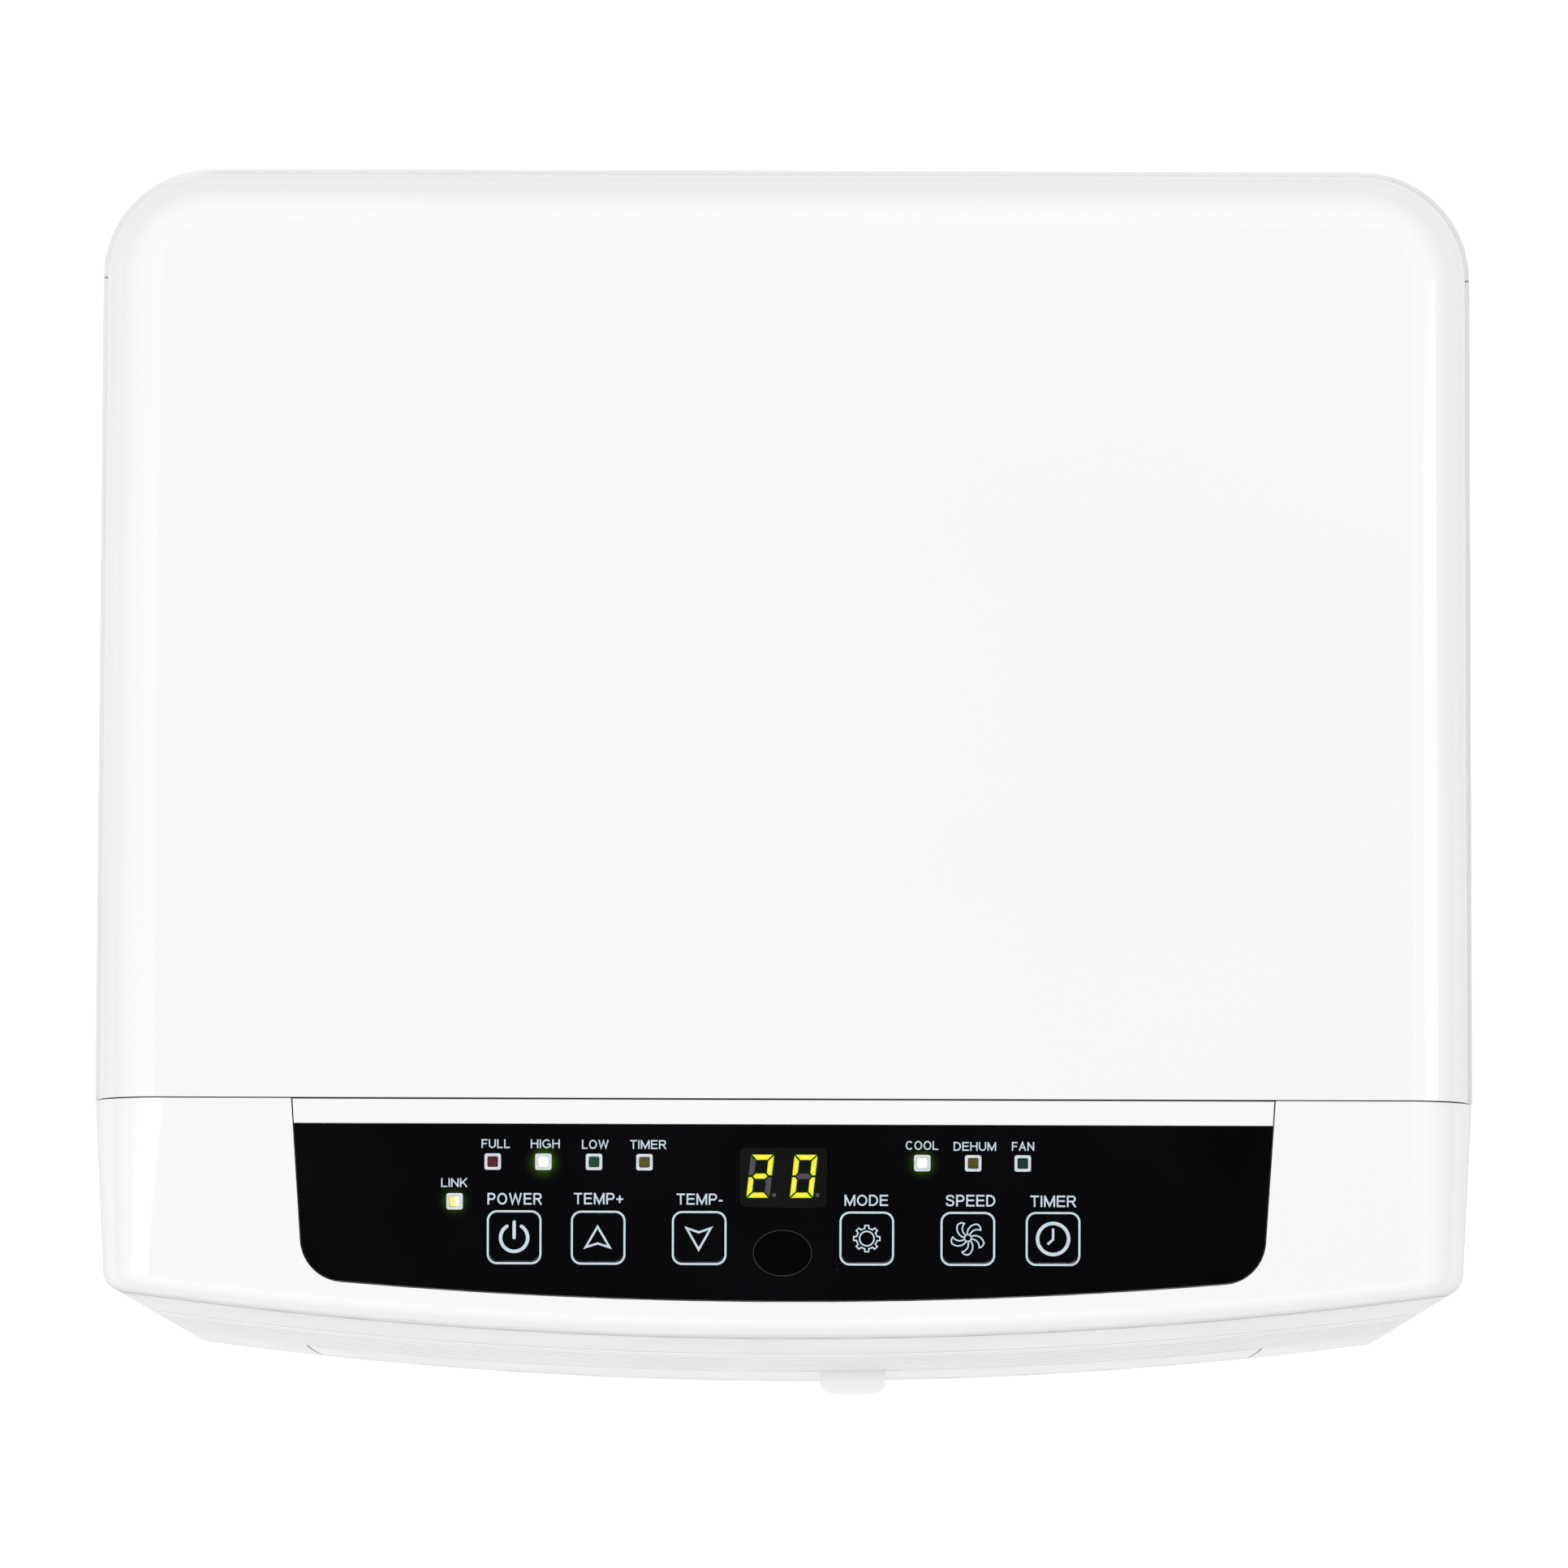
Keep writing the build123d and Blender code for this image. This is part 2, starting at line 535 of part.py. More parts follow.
# ---- rear panel
GU = (-112.0, 112.0, 448.0, 636.0)      # upper intake opening x0 x1 z0 z1
GL = (-112.0, 112.0, 92.0, 262.0)       # lower louvred intake
DRAINS = {"upper": (-60, 420), "lower": (-20, 74)}
with BuildPart() as rear_panel:
    with BuildSketch(Plane.XY.offset(Z_LOW)):
        with BuildLine():
            Polyline((-HALF_W, Y_JOINT + 0.2), (HALF_W, Y_JOINT + 0.2), (HALF_W, Y_BACK), (-HALF_W, Y_BACK), close=True)
        make_face()
    extrude(amount=Z_SIDETOP - Z_LOW)
    fillet([e for e in rear_panel.edges().filter_by(Axis.Z) if e.center().Y > 130], radius=BACK_R - 0.4)
    with BuildPart(mode=Mode.PRIVATE) as rear_core:
        with BuildSketch(Plane.XY.offset(Z_LOW - 5)):
            with BuildLine():
                Polyline((-HALF_W + WALL, Y_JOINT - 20), (HALF_W - WALL, Y_JOINT - 20), (HALF_W - WALL, Y_BACK - WALL),
                         (-HALF_W + WALL, Y_BACK - WALL), close=True)
            make_face()
        extrude(amount=700)
        fillet([e for e in rear_core.edges().filter_by(Axis.Z) if e.center().Y > 130], radius=BACK_R - 0.4 - WALL)
    add(rear_core.part, mode=Mode.SUBTRACT)
    with BuildSketch(Plane.XZ.offset(-Y_BACK + 10)):
        with Locations(((GU[0] + GU[1]) / 2, (GU[2] + GU[3]) / 2)):
            RectangleRounded(GU[1] - GU[0], GU[3] - GU[2], 6.0)
        with Locations(((GL[0] + GL[1]) / 2, (GL[2] + GL[3]) / 2)):
            with GridLocations((GL[1] - GL[0]) / 3, 11.5, 3, 14):
                SlotOverall((GL[1] - GL[0]) / 3 - 9, 6.6)
        with Locations((EXH_X, EXH_Z)):
            Circle(EXH_R + 3.0)
        with Locations((-118, 78)):
            Circle(8.0)
        with Locations(*DRAINS.values()):
            Circle(5.0)
        with Locations((-152 + 12, 655), (152 - 12, 655), (-140, 540), (140, 540), (-140, 430), (140, 430),
                       (-140, 270), (140, 270), (-140, 75), (140, 75)):
            Circle(2.05)
    extrude(amount=-30, mode=Mode.SUBTRACT)
    # vent louvres beside the exhaust
    with BuildSketch(Plane.XZ.offset(-Y_BACK + 10)):
        with Locations((-75, 345)):
            with GridLocations(0, 10.0, 1, 9):
                SlotOverall(80, 4.5)
    extrude(amount=-30, mode=Mode.SUBTRACT)
    # drain spigots
    with BuildSketch(Plane.XZ.offset(-(Y_BACK - 12.0))):
        with Locations(*DRAINS.values()):
            Circle(8.0)
            Circle(5.0, mode=Mode.SUBTRACT)
    extrude(amount=-18.0)
save(rear_panel, "rear_panel")

CMP = (-70.0, -50.0)     # compressor centre
REAR_SCREWS = [(-140, 655), (140, 655), (-140, 540), (140, 540), (-140, 430), (140, 430), (-140, 270), (140, 270), (-140, 75), (140, 75)]
with BuildPart() as fasteners:
    with BuildSketch(Plane.XZ.offset(-Y_BACK)):
        with Locations(*REAR_SCREWS):
            Circle(3.6)
    extrude(amount=-1.8)
    with BuildSketch(Plane.XZ.offset(-Y_BACK + 12)):
        with Locations(*REAR_SCREWS):
            Circle(2.0)
    extrude(amount=-12)
    with BuildSketch(Plane.XZ.offset(-(Y_BACK + 1.2))):
        with Locations(*REAR_SCREWS):
            Rectangle(4.2, 0.8)
            Rectangle(0.8, 4.2)
    extrude(amount=-1.0, mode=Mode.SUBTRACT)
    # compressor bolts
    with BuildSketch(Plane.XY.offset(60.0)):
        with Locations(CMP):
            with PolarLocations(58, 3, start_angle=30):
                Circle(3.0)
    extrude(amount=21.0)
    with BuildSketch(Plane.XY.offset(81.0)):
        with Locations(CMP):
            with PolarLocations(58, 3, start_angle=30):
                RegularPolygon(6.0, 6)
    extrude(amount=4.0)
save(fasteners, "fasteners")

# ---- pull-off intake grille with its filter frame, and the filter mesh
g = GU
cx, cz = (g[0] + g[1]) / 2, (g[2] + g[3]) / 2
gw, gh = g[1] - g[0] - 1.2, g[3] - g[2] - 1.2
with BuildPart() as intake_grille:
    with BuildSketch(Plane.XZ.offset(-(Y_BACK - 3.0))):
        with Locations((cx, cz)):
            RectangleRounded(gw, gh, 5.4)
    extrude(amount=-3.4)
    with BuildSketch(Plane.XZ.offset(-(Y_BACK - 6.0))):
        with Locations((cx, cz)):
            with GridLocations(gw / 3, 11.5, 3, 15):
                SlotOverall(gw / 3 - 9, 6.6)
    extrude(amount=-12, mode=Mode.SUBTRACT)
    # finger lip for pulling the grille off
    with BuildSketch(Plane.XZ.offset(-(Y_BACK + 0.4))):
        with Locations((cx, cz + gh / 2 - 5.5)):
            SlotOverall(46, 5.0)
    extrude(amount=-3.2)
    # filter frame
    with BuildSketch(Plane.XZ.offset(-(Y_BACK - 9.0))):
        with Locations((cx, cz)):
            Rectangle(gw - 2, gh - 2)
            Rectangle(gw - 14, gh - 14, mode=Mode.SUBTRACT)
            with GridLocations(gw / 3, 0, 2, 1):
                Rectangle(2.4, gh - 8)
            with GridLocations(0, gh / 4, 1, 3):
                Rectangle(gw - 8, 2.4)
    extrude(amount=-6.0)
save(intake_grille, "intake_grille")
with BuildPart() as filter_mesh:
    with BuildSketch(Plane.XZ.offset(-(Y_BACK - 9.8))):
        with Locations((cx, cz)):
            Rectangle(gw - 6, gh - 6)
    extrude(amount=-0.8)
save(filter_mesh, "filter_mesh")

# ---- exhaust collar and the duct behind it
with BuildPart() as exhaust_collar:
    with BuildSketch(Plane.XZ.offset(-Y_BACK)):
        with Locations((EXH_X, EXH_Z)):
            Circle(EXH_R + 9.0)
            Circle(EXH_R, mode=Mode.SUBTRACT)
    extrude(amount=-2.6)
    with BuildSketch(Plane.XZ.offset(-(Y_BACK - 17.0))):
        with Locations((EXH_X, EXH_Z)):
            Circle(EXH_R + 2.6)
            Circle(EXH_R, mode=Mode.SUBTRACT)
    extrude(amount=-(Y_REAR_MAX - Y_BACK + 17.0))
    # bayonet lugs round the outside
    with BuildSketch(Plane.XZ.offset(-(Y_REAR_MAX - 5.0))):
        with Locations((EXH_X, EXH_Z)):
            with PolarLocations(EXH_R + 3.8, 4, start_angle=45):
                Rectangle(3.4, 16)
    extrude(amount=-3.0)
save(exhaust_collar, "exhaust_collar")

with BuildPart() as cord_inlet:
    with BuildSketch(Plane.XZ.offset(-Y_BACK)):
        with Locations((-118, 78)):
            Circle(11.0)
            Circle(4.2, mode=Mode.SUBTRACT)
    extrude(amount=-3.0)
    with BuildSketch(Plane.XZ.offset(-(Y_BACK - 9.0))):
        with Locations((-118, 78)):
            Circle(7.95)
            Circle(4.2, mode=Mode.SUBTRACT)
    extrude(amount=-9.0)
save(cord_inlet, "cord_inlet")

# rubber drain plugs
for name, (dx, dz) in DRAINS.items():
    with BuildPart() as plug:
        with BuildSketch(Plane.XZ.offset(-(Y_BACK - 4.0))):
            with Locations((dx, dz)):
                Circle(4.96)
        extrude(amount=-10.0)
        with BuildSketch(Plane.XZ.offset(-(Y_BACK + 6.0))):
            with Locations((dx, dz)):
                Circle(8.4)
        extrude(amount=-3.2)
        with BuildSketch(Plane.XZ.offset(-(Y_BACK + 9.2))):
            with Locations((dx, dz)):
                Rectangle(3.0, 12.0)
        extrude(amount=-4.0)
    save(plug, "drain_plug_%s" % name)

# =================================================================== base
CASTOR_X, CASTOR_YF, CASTOR_YB = 122.0, -78.0, 88.0
CASTORS = {"front_left": (-CASTOR_X, CASTOR_YF), "front_right": (CASTOR_X, CASTOR_YF),
           "rear_left": (-CASTOR_X, CASTOR_YB), "rear_right": (CASTOR_X, CASTOR_YB)}
LOW_SHIFT = bulge(Z_LOW)
FLT = (-105.0, 55.0)     # float stem
with BuildPart() as base_tray:
    with BuildSketch(Plane.XY.offset(Z_TRAY)) as tray_sk:
        with BuildLine():
            body_outline(0.0, LOW_SHIFT)
        make_face()
        fillet([v for v in tray_sk.vertices() if v.Y > 130], radius=BACK_R - 0.4)
    extrude(amount=Z_LOW - 0.3 - Z_TRAY)
    with BuildSketch(Plane.XY.offset(Z_LOW - 0.3)) as tub_sk:
        with BuildLine():
            body_outline(WALL + 0.6, LOW_SHIFT)
        make_face()
        fillet([v for v in tub_sk.vertices() if v.Y > 130], radius=BACK_R - 4.0)
        with Locations((0, Y_BACK - 5)):
            Rectangle(270, 25, mode=Mode.SUBTRACT)
    extrude(amount=10.0)
    with BuildSketch(Plane.XY.offset(Z_TRAY + 3.2)) as well_sk:
        with BuildLine():
            body_outline(WALL + 3.6, LOW_SHIFT)
        make_face()
        fillet([v for v in well_sk.vertices() if v.Y > 130], radius=BACK_R - 6.0)
        with Locations((0, Y_BACK - 8)):
            Rectangle(276, 25, mode=Mode.SUBTRACT)
    extrude(amount=40.0, mode=Mode.SUBTRACT)
    # castor sockets
    with BuildSketch(Plane.XY.offset(Z_TRAY)):
        with Locations(*CASTORS.values()):
            Circle(9.0)
    extrude(amount=22.0)
    with BuildSketch(Plane.XY.offset(Z_TRAY - 1)):
        with Locations(*CASTORS.values()):
            Circle(4.05)
    extrude(amount=19.0, mode=Mode.SUBTRACT)
    # compressor pads
    with BuildSketch(Plane.XY.offset(Z_TRAY)):
        with Locations((-70, -50)):
            with PolarLocations(58, 3, start_angle=30):
                Circle(9.0)
    extrude(amount=16.0)
    # float stem with its snap head
    with BuildSketch(Plane.XY.offset(Z_TRAY)):
        with Locations(FLT):
            Circle(10)
    extrude(amount=5.6)
    with BuildSketch(Plane.XY.offset(Z_TRAY)):
        with Locations(FLT):
            Circle(3.0)
    extrude(amount=44.0)
    with BuildSketch(Plane.XY.offset(Z_TRAY + 38.0)):
        with Locations(FLT):
            Circle(7.0)
    extrude(amount=6.0)
save(base_tray, "base_tray")

for name, (cx, cy) in CASTORS.items():
    with BuildPart() as fork:
        with BuildSketch(Plane.XY.offset(Z_TRAY - 4.0)):
            with Locations((cx, cy)):
                Circle(13.0)
            with Locations((cx, cy + 8)):
                Rectangle(21.0, 16.0)
        extrude(amount=3.5)
        with BuildSketch(Plane.XY.offset(Z_TRAY - 0.5)):
            with Locations((cx, cy)):
                Circle(4.0)
        extrude(amount=17.0)
        for s in (-1, 1):
            with BuildSketch(Plane.YZ.offset(cx + 8.0 if s > 0 else cx - 10.5)):
                with BuildLine():
                    Polyline((cy - 9, Z_TRAY - 4), (cy + 16, Z_TRAY - 4), (cy + 19.5, 21), (cy + 17, 13.5), (cy + 11, 13.5), (cy + 6, 19), close=True)
                make_face()
            extrude(amount=2.5)
        # riveted axle
        with BuildSketch(Plane.YZ.offset(cx - 11.2)):
            with Locations((cy + 14, 19)):
                Circle(2.5)
        extrude(amount=22.4)
    save(fork, "castor_fork_%s" % name)
    with BuildPart() as wheel:
        with BuildSketch(Plane.YZ.offset(cx - 7.2)):
            with Locations((cy + 14, 19)):
                Circle(19.0)
                Circle(2.56, mode=Mode.SUBTRACT)
        extrude(amount=14.4)
        fillet([e for e in wheel.edges() if abs(e.length - 2 * 3.14159265 * 19.0) < 0.5], radius=1.8)
        for s, o in ((1, cx + 4.8), (-1, cx - 4.8)):
            with BuildSketch(Plane.YZ.offset(o)):
                with Locations((cy + 14, 19)):
                    Circle(14.0)
                    Circle(5.0, mode=Mode.SUBTRACT)
            extrude(amount=s * 3, mode=Mode.SUBTRACT)
    save(wheel, "castor_wheel_%s" % name)

# =================================================================== outlet
DUCT_HX = 121.0
VANE_X = (-78.0, -26.0, 26.0, 78.0)
with BuildPart() as outlet_duct:
    with BuildSketch(Plane.XZ.offset(68.0)):
        with Locations((0, (471.6 + 556.2) / 2)):
            Rectangle(2 * DUCT_HX + 6, 556.2 - 471.6)
            Rectangle(2 * DUCT_HX, 553.6 - 474.2, mode=Mode.SUBTRACT)
    extrude(amount=80)
    add(front_inner.part, mode=Mode.INTERSECT)
    # pivot holes for the flap
    with BuildSketch(Plane.YZ.offset(-130)):
        with Locations((FLAP_AX_Y, FLAP_AX_Z)):
            Circle(2.05)
    extrude(amount=260, mode=Mode.SUBTRACT)
    # vane pivot holes, top and bottom
    with BuildSketch(Plane.XY.offset(470)):
        with Locations(*[(vx, -88) for vx in VANE_X]):
            Circle(1.55)
    extrude(amount=90, mode=Mode.SUBTRACT)
    # guide slot ends for the linking bar: a rail along the roof of the duct
    with BuildSketch(Plane.XY.offset(549.4)):
        with Locations((0, -70.6), (0, -80.8)):
            Rectangle(2 * DUCT_HX, 1.6)
    extrude(amount=4.4)
save(outlet_duct, "outlet_duct")

for k, vx in enumerate(VANE_X):
    with BuildPart() as vane:
        with BuildSketch(Plane.YZ.offset(vx - 0.8)):
            with BuildLine():
                Polyline((-101, 475.2), (-74, 475.2), (-74, 540.0), (-83.5, 540.0), (-83.5, 552.6), (-101, 552.6), close=True)
            make_face()
        extrude(amount=1.6)
        with BuildSketch(Plane.XY.offset(472.4)):
            with Locations((vx, -88)):
                Circle(1.5)
        extrude(amount=83.0)
        with BuildSketch(Plane.XY.offset(538)):
            with Locations((vx, -76)):
                Circle(1.2)
        extrude(amount=8.6)
    save(vane, "vane_%d" % (k + 1))
with BuildPart() as vane_link:
    with BuildSketch(Plane.XY.offset(541.2)):
        with Locations((0, -76)):
            Rectangle(212, 6.4)
        with Locations(*[(vx, -76.5) for vx in VANE_X]):
            RectangleRounded(3.1, 4.4, 1.5, mode=Mode.SUBTRACT)
    extrude(amount=4.0)
    with BuildSketch(Plane.XY.offset(545.2)):
        with Locations((0, -76)):
            Rectangle(170, 6.4)
        with Locations(*[(vx, -76.5) for vx in VANE_X]):
            RectangleRounded(5.0, 5.2, 1.5, mode=Mode.SUBTRACT)
    extrude(amount=2.0)
save(vane_link, "vane_link")

# =================================================================== upper air path
with BuildPart() as upper_air_box:
    with BuildSketch(Plane.XY.offset(432)):
        with Locations((0, 3)):
            Rectangle(256, 142)
    extrude(amount=216)
    with BuildSketch(Plane.XY.offset(435)):
        with Locations((0, 3)):
            Rectangle(250, 136)
    extrude(amount=210, mode=Mode.SUBTRACT)
    with BuildSketch(Plane.XZ.offset(50)):
        with Locations((0, 513.9)):
            Rectangle(2 * DUCT_HX - 2, 79.0)
    extrude(amount=30, mode=Mode.SUBTRACT)
    with BuildSketch(Plane.XZ.offset(-90)):
        with Locations((0, 542)):
            Circle(76)
    extrude(amount=30, mode=Mode.SUBTRACT)
save(upper_air_box, "upper_air_box")

FAN_U = (0.0, 542.0)
with BuildPart() as evaporator_fan:
    with BuildSketch(Plane.XZ.offset(-4.0)):
        with Locations(FAN_U):
            Circle(88)
            Circle(4.04, mode=Mode.SUBTRACT)
    extrude(amount=-2.4)
    with BuildSketch(Plane.XZ.offset(-4.0)):
        with Locations(FAN_U):
            Circle(14)
            Circle(4.04, mode=Mode.SUBTRACT)
    extrude(amount=-26.0)
    with BuildSketch(Plane.XZ.offset(-4.0)):
        with Locations(FAN_U):
            with PolarLocations(80, 30):
                Rectangle(15, 1.8, rotation=32)
    extrude(amount=-60.0)
    with BuildSketch(Plane.XZ.offset(-60.0)):
        with Locations(FAN_U):
            Circle(88.5)
            Circle(72, mode=Mode.SUBTRACT)
    extrude(amount=-4.0)
save(evaporator_fan, "evaporator_fan")
with BuildPart() as evaporator_fan_motor:
    with BuildSketch(Plane.XZ.offset(44.0)):
        with Locations(FAN_U):
            Circle(36)
    extrude(amount=-40.0)
    with BuildSketch(Plane.XZ.offset(4.0)):
        with Locations(FAN_U):
            Circle(4.0)
    extrude(amount=-32.0)
    # mounting strap across the air box
    with BuildSketch(Plane.XZ.offset(46.0)):
        with Locations((0, 542)):
            Circle(40)
            Rectangle(249.8, 14)
    extrude(amount=-2.0)
    with BuildSketch(Plane.XZ.offset(44.0)):
        with Locations((0, 542)):
            Circle(39)
    extrude(amount=-10.0)
save(evaporator_fan_motor, "evaporator_fan_motor")
# ---- coils: a fin pack between end plates, with the tube bends outside them
for name, z0, z1, rows in (("evaporator", 436.0, 644.0, 9), ("condenser", 84.0, 272.0, 8)):
    cz = (z0 + z1) / 2
    with BuildPart() as coil:
        with BuildSketch(Plane.XZ.offset(-86.0)):
            with Locations((0, cz)):
                Rectangle(237, z1 - z0)
        extrude(amount=-30.0)
        # fin grooves over the intake side
        with BuildSketch(Plane.XZ.offset(-115.0)):
            with Locations((0, cz)):
                with GridLocations(5.9, 0, 39, 1):
                    Rectangle(2.4, z1 - z0 - 8)
        extrude(amount=-3.0, mode=Mode.SUBTRACT)
        for sx in (-1, 1):
            with BuildSketch(Plane.XZ.offset(-84.5)):
                with Locations((sx * 119.0, cz)):
                    Rectangle(2.0, z1 - z0)
            extrude(amount=-33.0)
            for k in range(rows):
                zc = z0 + (k + 0.5) * (z1 - z0) / rows
                with BuildSketch(Plane.YZ.offset(120.0 if sx > 0 else -127.0)):
                    with Locations((101, zc)):
                        SlotOverall(23.0, 8.0)
                        SlotOverall(12.0, 1.6, mode=Mode.SUBTRACT)
                extrude(amount=7.0)
    save(coil, name)

# =================================================================== mid deck
with BuildPart() as mid_deck:
    with BuildSketch(Plane.XY.offset(424.0)):
        with Locations((0, 8)):
            Rectangle(2 * 161.6, 212)
    extrude(amount=4.0)
    # drip trough under the evaporator
    with BuildSketch(Plane.XY.offset(428.0)):
        with Locations((0, 101)):
            Rectangle(276, 25.6)
            Rectangle(270, 19.6, mode=Mode.SUBTRACT)
    extrude(amount=4.0)
    with BuildSketch(Plane.XY.offset(420)):
        with Locations((-142, 21)):
            Rectangle(26, 40)
    extrude(amount=10, mode=Mode.SUBTRACT)
    # corner posts standing in the base tray
    with BuildSketch(Plane.XY.offset(Z_TRAY + 3.2)):
        with Locations((-154, -90), (154, -90), (-154, 104), (154, 104)):
            Rectangle(8, 8)
    extrude(amount=424.0 - Z_TRAY - 3.2)
    # bearers for the air box
    with BuildSketch(Plane.XY.offset(428.0)):
        with Locations((0, -64), (0, 70)):
            Rectangle(240, 6)
    extrude(amount=4.0)
save(mid_deck, "mid_deck")

# =================================================================== lower air path
FAN_L = (EXH_X, EXH_Z)
with BuildPart() as lower_fan_housing:
    with BuildSketch(Plane.XZ.offset(40.0)):
        with Locations(FAN_L):
            RectangleRounded(146, 146, 30)
    extrude(amount=-80)
    with BuildSketch(Plane.XZ.offset(37.4)):
        with Locations(FAN_L):
            RectangleRounded(140.8, 140.8, 27.4)
    extrude(amount=-74.8, mode=Mode.SUBTRACT)
    with BuildSketch(Plane.XZ.offset(60)):
        with Locations(FAN_L):
            Circle(50)
    extrude(amount=-50, mode=Mode.SUBTRACT)
    with BuildSketch(Plane.XZ.offset(-10)):
        with Locations(FAN_L):
            Circle(66)
    extrude(amount=-50, mode=Mode.SUBTRACT)
    with BuildSketch(Plane.XZ.offset(-40)):
        with Locations(FAN_L):
            Circle(70.9)
            Circle(68.4, mode=Mode.SUBTRACT)
    extrude(amount=-81)
save(lower_fan_housing, "exhaust_fan_housing")
with BuildPart() as condenser_fan:
    with BuildSketch(Plane.XZ.offset(-24.0)):
        with Locations(FAN_L):
            Circle(64)
            Circle(4.04, mode=Mode.SUBTRACT)
    extrude(amount=2.4)
    with BuildSketch(Plane.XZ.offset(-24.0)):
        with Locations(FAN_L):
            Circle(12)
            Circle(4.04, mode=Mode.SUBTRACT)
    extrude(amount=24.0)
    with BuildSketch(Plane.XZ.offset(-24.0)):
        with Locations(FAN_L):
            with PolarLocations(57, 24):
                Rectangle(12, 1.8, rotation=32)
    extrude(amount=54.0)
    with BuildSketch(Plane.XZ.offset(26.0)):
        with Locations(FAN_L):
            Circle(64.4)
            Circle(51, mode=Mode.SUBTRACT)
    extrude(amount=4.0)
save(condenser_fan, "condenser_fan")
with BuildPart() as condenser_fan_motor:
    with BuildSketch(Plane.XZ.offset(46.0)):
        with Locations(FAN_L):
            Circle(31)
    extrude(amount=38.0)
    with BuildSketch(Plane.XZ.offset(46.0)):
        with Locations(FAN_L):
            Circle(4.0)
    extrude(amount=-69.0)
    # three-arm bracket over the inlet ring
    with BuildSketch(Plane.XZ.offset(44.0)):
        with Locations(FAN_L):
            Circle(35)
            with PolarLocations(48, 3, start_angle=90):
                Rectangle(34, 9)
    extrude(amount=2.0)
    with BuildSketch(Plane.XZ.offset(40.0)):
        with Locations(FAN_L):
            with PolarLocations(61, 3, start_angle=90):
                Circle(4.5)
    extrude(amount=4.0)
save(condenser_fan_motor, "condenser_fan_motor")

# =================================================================== refrigeration
with BuildPart() as compressor:
    with BuildSketch(Plane.XY.offset(84.0)):
        with Locations(CMP):
            Circle(48.0)
    extrude(amount=170.0)
    fillet([e for e in compressor.edges() if abs(e.center().Z - 254.0) < 0.1], radius=28.0)
    fillet([e for e in compressor.edges() if abs(e.center().Z - 84.0) < 0.1], radius=10.0)
    with BuildSketch(Plane.XY.offset(76.0)):
        with Locations(CMP):
            Circle(40)
            with PolarLocations(58, 3, start_angle=30):
                Circle(11.0)
            with PolarLocations(38, 3, start_angle=30):
                Rectangle(44, 20)
            with PolarLocations(58, 3, start_angle=30):
                Circle(5.0, mode=Mode.SUBTRACT)
    extrude(amount=3.0)
    with BuildSketch(Plane.XY.offset(78.0)):
        with Locations(CMP):
            Circle(34)
    extrude(amount=12.0)
    # suction accumulator on its strap
    with BuildSketch(Plane.XY.offset(120.0)):
        with Locations((CMP[0] - 30.0, CMP[1] + 66)):
            Circle(15.0)
    extrude(amount=96.0)
    with BuildSketch(Plane.XY.offset(164.0)):
        with Locations((CMP[0] - 21.6, CMP[1] + 47.5)):
            Rectangle(20, 10, rotation=114.4)
    extrude(amount=8.0)
save(compressor, "compressor")
with BuildPart() as compressor_feet:
    with BuildSketch(Plane.XY.offset(60.0)):
        with Locations(CMP):
            with PolarLocations(58, 3, start_angle=30):
                Circle(8.5)
                Circle(3.1, mode=Mode.SUBTRACT)
    extrude(amount=16.0)
    with BuildSketch(Plane.XY.offset(76.0)):
        with Locations(CMP):
            with PolarLocations(58, 3, start_angle=30):
                Circle(4.95)
                Circle(3.1, mode=Mode.SUBTRACT)
    extrude(amount=5.0)
save(compressor_feet, "compressor_feet")
# ---- refrigerant lines: discharge, suction and capillary, with the filter drier
with BuildPart() as refrigerant_lines:
    with BuildLine() as l1:
        FilletPolyline((-70, -50, 254.0), (-70, -50, 285), (-134, -50, 285), (-134, 101, 285), (-134, 101, 260.25), (-127.0, 101, 260.25), radius=4.0)
    with BuildSketch(Plane((-70, -50, 254.0), z_dir=(0, 0, 1))):
        Circle(3.0)
    sweep(path=l1.wire())
    with BuildLine() as l2:
        FilletPolyline((-100, 16, 216.0), (-100, 16, 400), (-142, 16, 400), (-142, 16, 447.56), (-142, 101, 447.56), (-127.0, 101, 447.56), radius=7.0)
    with BuildSketch(Plane((-100, 16, 216.0), z_dir=(0, 0, 1))):
        Circle(4.0)
    sweep(path=l2.wire())
    with BuildLine() as l3:
        FilletPolyline((-127.0, 101, 95.75), (-140, 101, 95.75), (-140, 101, 300), (-140, 32, 300), (-151, 32, 300), (-151, 32, 470.67), (-151, 101, 470.67), (-127.0, 101, 470.67), radius=4.0)
    with BuildSketch(Plane((-127.0, 101, 95.75), z_dir=(-1, 0, 0))):
        Circle(1.6)
    sweep(path=l3.wire())
    with BuildSketch(Plane.XY.offset(170.0)):
        with Locations((-140, 101)):
            Circle(8.0)
    extrude(amount=60.0)
save(refrigerant_lines, "refrigerant_lines")

